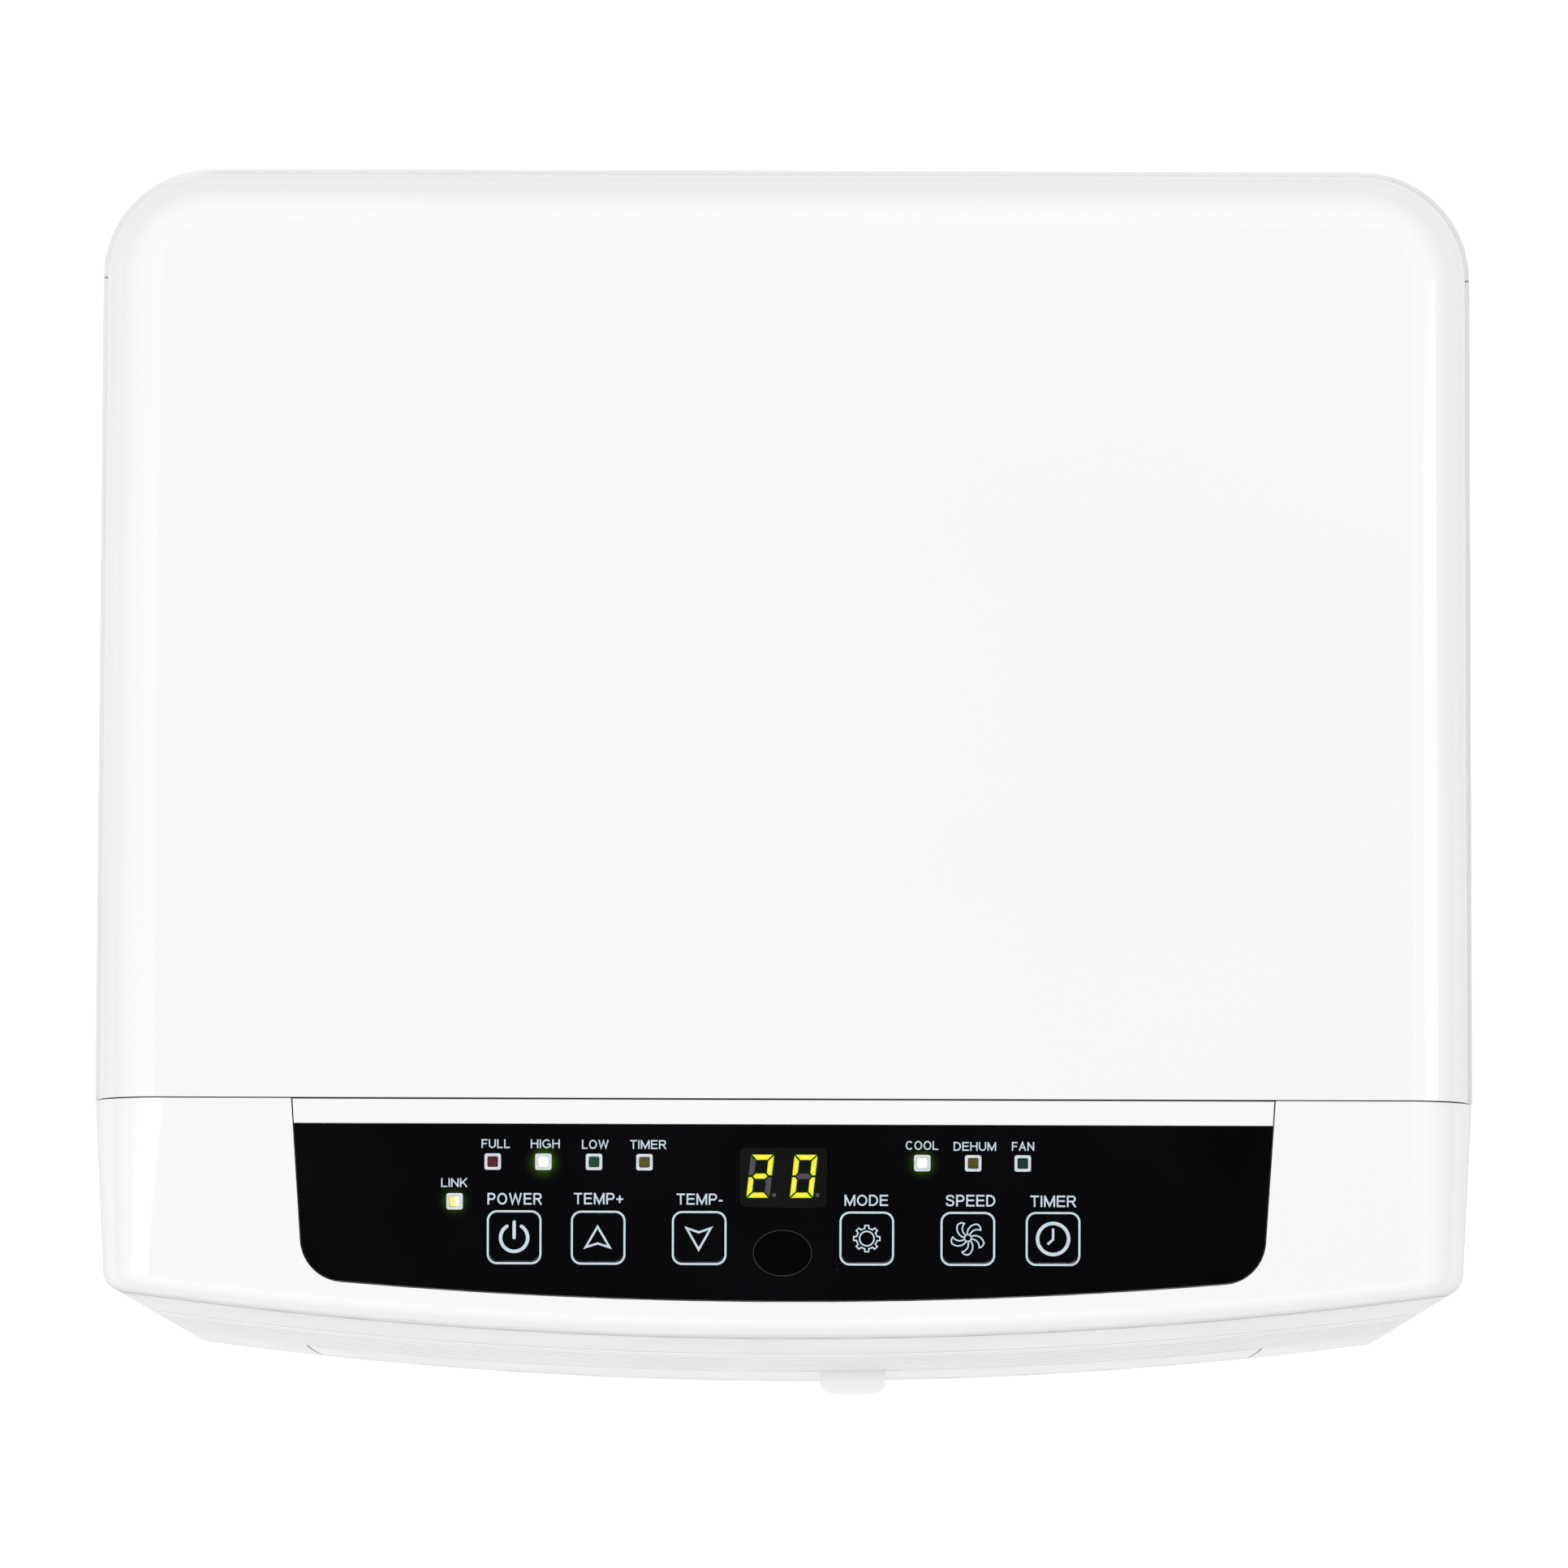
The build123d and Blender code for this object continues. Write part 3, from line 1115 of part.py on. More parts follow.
# ---- splash wheel throwing condensate onto the condenser
SPL = (70.0, 88.0)
with BuildPart() as splash_wheel:
    with BuildSketch(Plane.XZ.offset(-72.0)):
        with Locations(SPL):
            Circle(34)
            Circle(3.04, mode=Mode.SUBTRACT)
            with PolarLocations(36, 12):
                Rectangle(5, 3)
    extrude(amount=-2.0)
    with BuildSketch(Plane.XZ.offset(-66.0)):
        with Locations(SPL):
            Circle(8)
            Circle(3.04, mode=Mode.SUBTRACT)
    extrude(amount=-12.0)
save(splash_wheel, "splash_wheel")
with BuildPart() as splash_motor:
    with BuildSketch(Plane.XZ.offset(-34.0)):
        with Locations(SPL):
            Circle(20)
    extrude(amount=-28.0)
    with BuildSketch(Plane.XZ.offset(-62.0)):
        with Locations(SPL):
            Circle(3.0)
    extrude(amount=-15.0)
    # foot
    with BuildSketch(Plane.XY.offset(Z_TRAY + 3.2)):
        with Locations((70, 48)):
            Rectangle(30, 22)
    extrude(amount=24.0)
save(splash_motor, "splash_motor")

# ---- float of the water-level switch
with BuildPart() as float_ring:
    with BuildSketch(Plane.XY.offset(Z_TRAY + 5.9)):
        with Locations(FLT):
            Circle(12.0)
            Circle(3.06, mode=Mode.SUBTRACT)
    extrude(amount=14.0)
save(float_ring, "float_ring")

# ---- electrical box
with BuildPart() as electrical_box:
    with BuildSketch(Plane.XZ.offset(104.0)):
        with Locations((82, 165)):
            Rectangle(124, 150)
    extrude(amount=-36.0)
    with BuildSketch(Plane.XZ.offset(104.0)):
        with Locations((82, 165)):
            Rectangle(120, 146)
    extrude(amount=-34.0, mode=Mode.SUBTRACT)
    with BuildSketch(Plane.XY.offset(Z_TRAY + 3.2)):
        with Locations((40, -86), (94, -86)):
            Rectangle(10, 20)
    extrude(amount=90.0 - Z_TRAY - 3.2)
    # lid
    with BuildSketch(Plane.XZ.offset(104.0)):
        with Locations((82, 165)):
            Rectangle(124, 150)
    extrude(amount=2.0)
save(electrical_box, "electrical_box")
with BuildPart() as power_board:
    with BuildSketch(Plane.XZ.offset(76.0)):
        with Locations((82, 165)):
            Rectangle(110, 134)
    extrude(amount=1.6)
    with BuildSketch(Plane.XZ.offset(70.0)):
        with Locations((40, 110), (124, 110), (40, 220), (124, 220)):
            Circle(3)
    extrude(amount=6.0)
    # run capacitor and relays
    with BuildSketch(Plane.XZ.offset(77.6)):
        with Locations((60, 195)):
            Circle(16)
    extrude(amount=24.0)
    with BuildSketch(Plane.XZ.offset(77.6)):
        with Locations((104, 200), (104, 175), (104, 150), (60, 135)):
            Rectangle(22, 16)
    extrude(amount=15.0)
save(power_board, "power_board")
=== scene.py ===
"""Looks for the portable air conditioner and dehumidifier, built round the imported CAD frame."""

import math

import bmesh
import bpy
from mathutils import Matrix, Vector


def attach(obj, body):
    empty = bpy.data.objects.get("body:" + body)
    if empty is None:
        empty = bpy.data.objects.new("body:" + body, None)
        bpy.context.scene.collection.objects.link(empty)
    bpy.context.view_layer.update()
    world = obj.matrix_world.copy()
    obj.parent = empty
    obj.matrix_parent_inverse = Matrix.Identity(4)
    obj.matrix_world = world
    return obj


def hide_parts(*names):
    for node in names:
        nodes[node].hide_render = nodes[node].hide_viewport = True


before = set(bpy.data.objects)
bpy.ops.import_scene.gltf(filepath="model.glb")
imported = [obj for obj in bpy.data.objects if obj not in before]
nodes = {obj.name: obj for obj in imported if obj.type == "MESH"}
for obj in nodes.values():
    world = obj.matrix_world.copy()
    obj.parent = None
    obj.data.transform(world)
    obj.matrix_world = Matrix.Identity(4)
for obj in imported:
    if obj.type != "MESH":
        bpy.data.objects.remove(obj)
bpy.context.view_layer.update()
scene = bpy.context.scene
scene.view_settings.view_transform = "Standard"
scene.view_settings.look = "None"

MM = 0.001

# ------------------------------------------------------------------ camera
dn = Vector((35.0, 1084.0, 11640.0)).normalized()
cz = -dn
cx = Vector((1.0, 0.0034, 0.0))
cx = (cx - cz * cx.dot(cz)).normalized()
cy = cz.cross(cx)
right, down, fwd = Vector((cx.x, cy.x, cz.x)), Vector((cx.y, cy.y, cz.y)), Vector((cx.z, cy.z, cz.z))
cam_data = bpy.data.cameras.new("camera")
cam_data.lens = 216.9
cam_data.sensor_width = 36.0
cam_data.clip_start, cam_data.clip_end = 0.05, 50.0
cam = bpy.data.objects.new("camera", cam_data)
scene.collection.objects.link(cam)
rot = Matrix((right, -down, -fwd)).transposed()
cam.matrix_world = Matrix.Translation(Vector((0.007328, -0.220930, 2.934854))) @ rot.to_4x4()
scene.camera = cam


# ------------------------------------------------------------------ material helpers
def mk(nt, kind, **props):
    n = nt.nodes.new(kind)
    for k, v in props.items():
        setattr(n, k, v)
    return n


def base_material(name):
    m = bpy.data.materials.new(name)
    m.use_nodes = True
    nt = m.node_tree
    b = nt.nodes["Principled BSDF"]
    tc = mk(nt, "ShaderNodeTexCoord")
    return m, nt, b, tc.outputs["Object"]


def noise(nt, vec, scale, detail=3.0, rough=0.5, distortion=0.0):
    n = mk(nt, "ShaderNodeTexNoise")
    nt.links.new(vec, n.inputs["Vector"])
    n.inputs["Scale"].default_value = scale
    n.inputs["Detail"].default_value = detail
    n.inputs["Roughness"].default_value = rough
    n.inputs["Distortion"].default_value = distortion
    return n.outputs["Fac"]


def remap(nt, val, a, b, c, d, smooth=False):
    n = mk(nt, "ShaderNodeMapRange", interpolation_type="SMOOTHSTEP" if smooth else "LINEAR")
    nt.links.new(val, n.inputs["Value"])
    for k, v in (("From Min", a), ("From Max", b), ("To Min", c), ("To Max", d)):
        n.inputs[k].default_value = v
    return n.outputs["Result"]


def mth(nt, op, a, b=None):
    n = mk(nt, "ShaderNodeMath", operation=op)
    for i, v in enumerate((a, b)):
        if v is None:
            continue
        if isinstance(v, (int, float)):
            n.inputs[i].default_value = v
        else:
            nt.links.new(v, n.inputs[i])
    return n.outputs[0]


def mix(nt, fac, a, b):
    n = mk(nt, "ShaderNodeMix", data_type="RGBA")
    nt.links.new(fac, n.inputs["Factor"])
    for s, v in (("A", a), ("B", b)):
        sock = [i for i in n.inputs if i.name == s and i.type == "RGBA"][0]
        if isinstance(v, (tuple, list)):
            sock.default_value = (*v[:3], 1.0)
        else:
            nt.links.new(v, sock)
    return [o for o in n.outputs if o.type == "RGBA"][0]


def scale_vec(nt, vec, s):
    n = mk(nt, "ShaderNodeMapping")
    nt.links.new(vec, n.inputs["Vector"])
    n.inputs["Scale"].default_value = s
    return n.outputs["Vector"]


def sep(nt, vec):
    n = mk(nt, "ShaderNodeSeparateXYZ")
    nt.links.new(vec, n.inputs[0])
    return n.outputs


def bump(nt, b, height, strength, dist):
    n = mk(nt, "ShaderNodeBump")
    n.inputs["Strength"].default_value = strength
    n.inputs["Distance"].default_value = dist
    nt.links.new(height, n.inputs["Height"])
    nt.links.new(n.outputs["Normal"], b.inputs["Normal"])
    return n


def specks(nt, vec, cell, size, share):
    """1 on sparse small dots: cells of cell metres, dots of size metres, in share of the cells."""
    v = mk(nt, "ShaderNodeTexVoronoi", feature="F1")
    nt.links.new(vec, v.inputs["Vector"])
    v.inputs["Scale"].default_value = 1.0 / cell
    dot = mth(nt, "LESS_THAN", v.outputs["Distance"], size / cell / 2)
    pick = mth(nt, "LESS_THAN", sep(nt, v.outputs["Color"])[0], share)
    return mth(nt, "MULTIPLY", dot, pick)


def plastic(name, col, rough, grain=0.04, grain_scale=2600.0, tone=0.02, wave=0.0, dust=None, dust_col=(0.5, 0.5, 0.48), spec=0.5, cell=0.021, dot=0.0005):
    m, nt, b, v = base_material(name)
    big = noise(nt, v, 7.0, 2.0)
    fine = noise(nt, v, grain_scale, 2.0)
    lo = tuple(c * (1 - tone) for c in col)
    hi = tuple(min(1.0, c * (1 + tone * 0.4)) for c in col)
    out = mix(nt, remap(nt, big, 0.35, 0.65, 0.0, 1.0), lo, hi)
    if dust:
        out = mix(nt, specks(nt, v, cell, dot, dust), out, dust_col)
    nt.links.new(out, b.inputs["Base Color"])
    nt.links.new(remap(nt, noise(nt, v, 38.0, 4.0), 0.3, 0.7, rough * 0.86, rough * 1.16), b.inputs["Roughness"])
    h = fine
    if wave:
        h = mth(nt, "ADD", mth(nt, "MULTIPLY", noise(nt, v, 16.0, 1.0), wave), fine)
    bump(nt, b, h, grain, 0.0003)
    b.inputs["Specular IOR Level"].default_value = spec
    b.inputs["IOR"].default_value = 1.5
    return m


def metal(name, col, rough, streak=(1.0, 1.0, 1.0), scale=900.0, tone=0.12, grain=0.1, metallic=1.0):
    m, nt, b, v = base_material(name)
    s = noise(nt, scale_vec(nt, v, streak), scale, 3.0)
    cloud = noise(nt, v, 30.0, 3.0)
    f = mth(nt, "MULTIPLY", mth(nt, "ADD", s, cloud), 0.5)
    out = mix(nt, remap(nt, f, 0.35, 0.65, 0.0, 1.0), tuple(c * (1 - tone) for c in col), tuple(min(1.0, c * (1 + tone * 0.5)) for c in col))
    nt.links.new(out, b.inputs["Base Color"])
    nt.links.new(remap(nt, s, 0.3, 0.7, rough * 0.75, rough * 1.3), b.inputs["Roughness"])
    b.inputs["Metallic"].default_value = metallic
    bump(nt, b, s, grain, 0.0002)
    return m


M = {}
M["white_shell"] = plastic("white_shell", (0.866, 0.868, 0.870), 0.10, grain=0.012, tone=0.008, dust=0.05, wave=0.0)
M["white_console"] = plastic("white_console", (0.872, 0.878, 0.880), 0.09, grain=0.010, tone=0.006, dust=0.05)
M["white_front"] = plastic("white_front", (0.79, 0.793, 0.795), 0.42, grain=0.03, tone=0.012, dust=0.30, dust_col=(0.42, 0.41, 0.40), cell=0.012, dot=0.00045)
M["white_inner"] = plastic("white_inner", (0.74, 0.745, 0.75), 0.46, grain=0.10, grain_scale=1700.0, tone=0.03)
M["grey_plastic"] = plastic("grey_plastic", (0.24, 0.245, 0.25), 0.42, grain=0.12, grain_scale=1500.0, tone=0.08)
M["rubber_black"] = plastic("rubber_black", (0.022, 0.022, 0.023), 0.62, grain=0.25, grain_scale=1300.0, tone=0.2)
M["rubber_grey"] = plastic("rubber_grey", (0.36, 0.37, 0.38), 0.6, grain=0.2, grain_scale=1300.0, tone=0.08)


def retone(m, tone):
    """Multiply the base colour of a material by a number socket."""
    nt = m.node_tree
    b = nt.nodes["Principled BSDF"]
    src = b.inputs["Base Color"].links[0].from_socket
    n = mk(nt, "ShaderNodeVectorMath", operation="SCALE")
    nt.links.new(src, n.inputs[0])
    nt.links.new(tone, n.inputs["Scale"])
    nt.links.new(n.outputs["Vector"], b.inputs["Base Color"])


def object_coords(m):
    return [n for n in m.node_tree.nodes if n.bl_idname == "ShaderNodeTexCoord"][0]


def painted_edge_shade_and_dulling(name, painted_shade_lo, spec_lo, rough_lo, top):
    """Steep faces of a glossy shell: painted shade makes their colour darker than the flats, and they are also duller
    and less mirror-like.
    """
    m = M[name]
    nt = m.node_tree
    b = nt.nodes["Principled BSDF"]
    nz = sep(nt, object_coords(m).outputs["Normal"])[2]
    # painted shade: the base colour is darkened on steep faces by their normal
    retone(m, remap(nt, nz, 0.1, top, painted_shade_lo, 1.0, True))
    nt.links.new(remap(nt, nz, 0.1, top, spec_lo, 0.5, True), b.inputs["Specular IOR Level"])
    old = b.inputs["Roughness"].links[0].from_socket
    extra = remap(nt, nz, 0.05, 0.55, rough_lo, 0.0, True)
    nt.links.new(mth(nt, "MAXIMUM", old, extra), b.inputs["Roughness"])


# painted shade on the steep faces of the shell and the console
painted_edge_shade_and_dulling("white_shell", 0.88, 0.12, 0.3, 0.9)
painted_edge_shade_and_dulling("white_console", 0.84, 0.0, 0.5, 0.66)


def front_painted_shade_and_light(name):
    """Painted shade and light on the front: painted shade under the seam and in the rib grooves, painted highlights
    below the grooves and on the first rib, a brighter painted finger tab, and a painted shadow in the notch beside it.
    """
    m = M[name]
    nt = m.node_tree
    x, y, z = sep(nt, object_coords(m).outputs["Object"])[:3]
    u = mth(nt, "MULTIPLY", mth(nt, "SUBTRACT", 0.6263, z), 125.0)
    t = mth(nt, "FRACT", u)
    span = mth(nt, "LESS_THAN", mth(nt, "ABSOLUTE", x), 0.1560)
    inside = mth(nt, "MULTIPLY", mth(nt, "GREATER_THAN", u, 0.0), mth(nt, "LESS_THAN", u, 10.0))
    inside = mth(nt, "MULTIPLY", inside, span)
    # painted shade in the rib grooves, and painted highlight on the groove faces below them
    dark = mth(nt, "MULTIPLY", inside, mth(nt, "LESS_THAN", t, 0.27))
    lit = mth(nt, "MULTIPLY", inside, mth(nt, "MULTIPLY", remap(nt, t, 0.27, 0.34, 0.0, 1.0), remap(nt, t, 0.5, 0.85, 1.0, 0.0)))
    # painted highlight on the first rib
    first_rib_painted_highlight = mth(nt, "MULTIPLY", span, remap(nt, z, 0.6080, 0.6200, 0.0, 1.0, True))
    first_rib_painted_highlight = mth(nt, "MULTIPLY", first_rib_painted_highlight, mth(nt, "LESS_THAN", z, 0.6240))
    shade = remap(nt, u, 0.0, 9.0, 0.16, 0.10)
    tone = mth(nt, "SUBTRACT", 1.0, mth(nt, "MULTIPLY", dark, shade))
    tone = mth(nt, "ADD", tone, mth(nt, "MULTIPLY", lit, 0.065))
    tone = mth(nt, "ADD", tone, mth(nt, "MULTIPLY", first_rib_painted_highlight, 0.085))
    # painted shade darkening towards the console seam, then a painted dark line at the seam
    tone = mth(nt, "MULTIPLY", tone, remap(nt, z, 0.6560, 0.6705, 1.0, 0.955))
    tone = mth(nt, "MULTIPLY", tone, remap(nt, z, 0.6692, 0.6710, 1.0, 0.52, True))
    # painted light: the finger tab is made brighter
    tab = mth(nt, "MULTIPLY", mth(nt, "LESS_THAN", y, -0.1460), mth(nt, "GREATER_THAN", z, 0.5462))
    tab = mth(nt, "MULTIPLY", tab, mth(nt, "LESS_THAN", z, 0.5502))
    tab = mth(nt, "MULTIPLY", tab, mth(nt, "LESS_THAN", mth(nt, "ABSOLUTE", mth(nt, "SUBTRACT", x, 0.01728)), 0.0086))
    tone = mth(nt, "ADD", tone, mth(nt, "MULTIPLY", tab, 0.20))
    # painted shadow: a soft ellipse of shade in the finger notch beside the tab
    dx = mth(nt, "DIVIDE", mth(nt, "SUBTRACT", x, 0.01728), 0.0142)
    dz = mth(nt, "DIVIDE", mth(nt, "SUBTRACT", z, 0.5520), 0.0075)
    rr = mth(nt, "SQRT", mth(nt, "ADD", mth(nt, "MULTIPLY", dx, dx), mth(nt, "MULTIPLY", dz, dz)))
    notch_painted_shadow = mth(nt, "MULTIPLY", remap(nt, rr, 0.6, 1.0, 0.13, 0.0, True), mth(nt, "GREATER_THAN", z, 0.5503))
    tone = mth(nt, "SUBTRACT", tone, notch_painted_shadow)
    retone(m, tone)


front_painted_shade_and_light("white_front")
M["screw_steel"] = metal("screw_steel", (0.62, 0.62, 0.63), 0.3, streak=(1.0, 0.15, 1.0), scale=2600.0)
M["motor_steel"] = metal("motor_steel", (0.10, 0.10, 0.108), 0.38, scale=1400.0, metallic=0.35, tone=0.2)
M["compressor_black"] = plastic("compressor_black", (0.016, 0.016, 0.018), 0.22, grain=0.12, grain_scale=520.0, tone=0.25, dust=0.15, dust_col=(0.12, 0.11, 0.1))
M["copper"] = metal("copper", (0.72, 0.36, 0.2), 0.28, streak=(1.0, 1.0, 0.2), scale=700.0, tone=0.25)


def sheet_steel():
    m, nt, b, v = base_material("sheet_steel")
    vo = mk(nt, "ShaderNodeTexVoronoi", feature="F1")
    nt.links.new(v, vo.inputs["Vector"])
    vo.inputs["Scale"].default_value = 170.0
    sp = sep(nt, vo.outputs["Color"])[0]
    nt.links.new(mix(nt, sp, (0.52, 0.53, 0.545), (0.70, 0.71, 0.72)), b.inputs["Base Color"])
    nt.links.new(remap(nt, sp, 0, 1, 0.26, 0.46), b.inputs["Roughness"])
    b.inputs["Metallic"].default_value = 1.0
    bump(nt, b, noise(nt, v, 900.0), 0.08, 0.0002)
    return m


M["sheet_steel"] = sheet_steel()


def fins(name, x_end, axis=0, pitch=0.0019):
    """Pressed aluminium fins across X with painted shade near-black in the gaps between them, and copper return bends
    past x_end.
    """
    m, nt, b, v = base_material(name)
    s = sep(nt, v)
    saw = mth(nt, "SINE", mth(nt, "MULTIPLY", s[axis], 2 * math.pi / pitch))
    # painted shade: the gaps between the fins are coloured near-black
    gap = remap(nt, saw, -1.0, 0.2, 1.0, 0.0, True)
    dirt = noise(nt, v, 60.0, 4.0)
    alu = mix(nt, remap(nt, dirt, 0.35, 0.7, 0.0, 1.0), (0.78, 0.79, 0.80), (0.66, 0.67, 0.67))
    alu = mix(nt, gap, alu, (0.05, 0.052, 0.055))
    cop = mix(nt, dirt, (0.74, 0.38, 0.22), (0.5, 0.24, 0.14))
    end = mth(nt, "GREATER_THAN", mth(nt, "ABSOLUTE", s[0]), x_end)
    nt.links.new(mix(nt, end, alu, cop), b.inputs["Base Color"])
    nt.links.new(remap(nt, dirt, 0.3, 0.7, 0.28, 0.5), b.inputs["Roughness"])
    b.inputs["Metallic"].default_value = 0.9
    bump(nt, b, saw, 0.35, 0.0004)
    return m


M["evaporator"] = fins("fins_evaporator", 0.1202)
M["condenser"] = fins("fins_condenser", 0.1202)


def cloth_mesh():
    """Open plain-weave filter net, with painted shade near-black in the holes between the yarns."""
    m, nt, b, v = base_material("filter_cloth")
    s = sep(nt, v)
    k = 2 * math.pi / 0.0014
    wx = mth(nt, "SINE", mth(nt, "MULTIPLY", s[0], k))
    wz = mth(nt, "SINE", mth(nt, "MULTIPLY", s[2], k))
    th = mth(nt, "MAXIMUM", wx, wz)
    over = remap(nt, th, 0.05, 0.45, 0.0, 1.0, True)
    lint = noise(nt, v, 55.0, 4.0)
    yarn = mix(nt, remap(nt, lint, 0.4, 0.7, 0.0, 1.0), (0.17, 0.18, 0.19), (0.27, 0.275, 0.28))
    # painted shade: the holes between the yarns are coloured near-black
    nt.links.new(mix(nt, over, (0.012, 0.012, 0.013), yarn), b.inputs["Base Color"])
    nt.links.new(remap(nt, lint, 0.3, 0.7, 0.55, 0.8), b.inputs["Roughness"])
    bump(nt, b, th, 0.6, 0.0004)
    return m


M["filter_cloth"] = cloth_mesh()


def board(name):
    """Solder mask over copper tracks."""
    m, nt, b, v = base_material(name)
    br = mk(nt, "ShaderNodeTexBrick")
    nt.links.new(scale_vec(nt, v, (1.0, 1.0, 1.0)), br.inputs["Vector"])
    br.inputs["Scale"].default_value = 260.0
    br.inputs["Mortar Size"].default_value = 0.05
    br.inputs["Color1"].default_value = (0.018, 0.14, 0.055, 1)
    br.inputs["Color2"].default_value = (0.022, 0.165, 0.07, 1)
    br.inputs["Mortar"].default_value = (0.06, 0.30, 0.13, 1)
    pads = specks(nt, v, 0.0034, 0.0012, 0.35)
    nt.links.new(mix(nt, pads, br.outputs["Color"], (0.70, 0.66, 0.55)), b.inputs["Base Color"])
    nt.links.new(remap(nt, noise(nt, v, 90.0), 0.3, 0.7, 0.25, 0.4), b.inputs["Roughness"])
    bump(nt, b, br.outputs["Fac"], 0.2, 0.0001)
    return m


M["circuit_board"] = board("circuit_board")


def wheel(name, y0, z0, tyre_r):
    """Grey nylon hub with a darker moulded tread past tyre_r."""
    m, nt, b, v = base_material(name)
    s = sep(nt, v)
    dy, dz = mth(nt, "SUBTRACT", s[1], y0), mth(nt, "SUBTRACT", s[2], z0)
    r = mth(nt, "SQRT", mth(nt, "ADD", mth(nt, "MULTIPLY", dy, dy), mth(nt, "MULTIPLY", dz, dz)))
    tyre = mth(nt, "GREATER_THAN", r, tyre_r)
    g = noise(nt, v, 140.0, 4.0)
    hub = mix(nt, g, (0.30, 0.305, 0.31), (0.25, 0.255, 0.26))
    rub = mix(nt, g, (0.075, 0.076, 0.078), (0.045, 0.046, 0.047))
    nt.links.new(mix(nt, tyre, hub, rub), b.inputs["Base Color"])
    nt.links.new(remap(nt, mth(nt, "ADD", tyre, mth(nt, "MULTIPLY", g, 0.3)), 0.0, 1.3, 0.34, 0.68), b.inputs["Roughness"])
    bump(nt, b, noise(nt, v, 1200.0), 0.2, 0.0002)
    return m


M["wheel_front"] = wheel("wheel_front", -0.064, 0.019, 0.0155)
M["wheel_rear"] = wheel("wheel_rear", 0.102, 0.019, 0.0155)

# ------------------------------------------------------------------ control panel plane
TILT = math.radians(5.1)
P_O = Vector((0.0, -0.0878, 0.690))
P_X = Vector((1.0, 0.0, 0.0))
P_N = Vector((0.0, -math.sin(TILT), math.cos(TILT)))
P_Y = P_N.cross(P_X)


def on_panel(u, v, w=0.0):
    """Panel coordinates in mm (across, up the slope, out of the panel) to the row frame in metres."""
    return P_O + P_X * (u * MM) + P_Y * (v * MM) + P_N * (w * MM)


LED = {
    "full": (-69.1, -14.47), "high": (-57.05, -14.47), "low": (-45.0, -14.47), "timer": (-33.0, -14.5),
    "link": (-78.15, -23.95), "cool": (33.1, -14.5), "dehum": (45.2, -14.52), "fan": (57.0, -14.52),
}
KEY = {
    "power": (-63.95, -32.46), "up": (-43.96, -32.5), "down": (-19.92, -32.5),
    "mode": (19.95, -32.5), "speed": (43.99, -32.5), "timer": (64.26, -32.45),
}
LIT = ("high", "cool", "link")


def overlay_material(name):
    """Glossy printed film: near-black, faint mottling, sparse dust, and a painted glow (emission on the film itself)
    round the lit lamps.
    """
    m, nt, b, v = base_material(name)
    big = noise(nt, v, 26.0, 3.0)
    col = mix(nt, remap(nt, big, 0.35, 0.65, 0.0, 1.0), (0.0016, 0.0016, 0.0022), (0.0026, 0.0024, 0.0034))
    dots = specks(nt, v, 0.011, 0.00026, 0.22)
    col = mix(nt, dots, col, (0.05, 0.052, 0.055))
    nt.links.new(col, b.inputs["Base Color"])
    nt.links.new(remap(nt, noise(nt, v, 60.0, 4.0), 0.3, 0.7, 0.045, 0.075), b.inputs["Roughness"])
    bump(nt, b, noise(nt, v, 500.0, 2.0), 0.012, 0.0002)
    b.inputs["Specular IOR Level"].default_value = 0.5
    # painted glow: the film emits green light falling off round the lit lamps, standing in for their halo
    glow = None
    for n, reach, gain in (("high", 0.0062, 0.22), ("cool", 0.0056, 0.15), ("link", 0.0054, 0.12)):
        d = mk(nt, "ShaderNodeVectorMath", operation="DISTANCE")
        nt.links.new(v, d.inputs[0])
        d.inputs[1].default_value = on_panel(*LED[n])
        g = remap(nt, d.outputs["Value"], 0.0017, reach, 1.0, 0.0)
        g = mth(nt, "MULTIPLY", mth(nt, "POWER", g, 4.0), gain)
        glow = g if glow is None else mth(nt, "ADD", glow, g)
    nt.links.new(mix(nt, mth(nt, "MULTIPLY", glow, 2.0), (0.16, 0.42, 0.0), (0.34, 0.62, 0.0)), b.inputs["Emission Color"])
    nt.links.new(glow, b.inputs["Emission Strength"])
    return m


M["black_overlay"] = overlay_material("black_overlay")
M["key_film"] = overlay_material("key_film")
M["display_body"] = plastic("display_body", (0.0055, 0.0055, 0.005), 0.16, grain=0.02, tone=0.10, dust=0.2, dust_col=(0.03, 0.03, 0.03), cell=0.004, dot=0.00015, spec=0.35)
M["receiver"] = plastic("receiver", (0.0012, 0.0012, 0.0018), 0.05, grain=0.004, tone=0.2)


def glowing(name, lo, hi, strength, base=(0.2, 0.2, 0.2), scale=900.0):
    """A lit or unlit diffusing window with fine cloudiness."""
    m, nt, b, v = base_material(name)
    c = mix(nt, remap(nt, noise(nt, v, scale, 3.0), 0.35, 0.65, 0.0, 1.0), lo, hi)
    nt.links.new(c, b.inputs["Emission Color"])
    b.inputs["Emission Strength"].default_value = strength
    nt.links.new(mix(nt, remap(nt, noise(nt, v, scale * 1.7, 3.0), 0.35, 0.65, 0.0, 1.0), base, tuple(x * 0.8 for x in base)), b.inputs["Base Color"])
    b.inputs["Roughness"].default_value = 0.3
    return m


def led_dark(name, col):
    m, nt, b, v = base_material(name)
    g = noise(nt, v, 1500.0, 3.0)
    nt.links.new(mix(nt, remap(nt, g, 0.35, 0.65, 0.0, 1.0), tuple(c * 0.8 for c in col), tuple(c * 1.25 for c in col)), b.inputs["Base Color"])
    nt.links.new(remap(nt, g, 0.3, 0.7, 0.22, 0.34), b.inputs["Roughness"])
    bump(nt, b, g, 0.15, 0.0002)
    b.inputs["Specular IOR Level"].default_value = 0.25
    return m


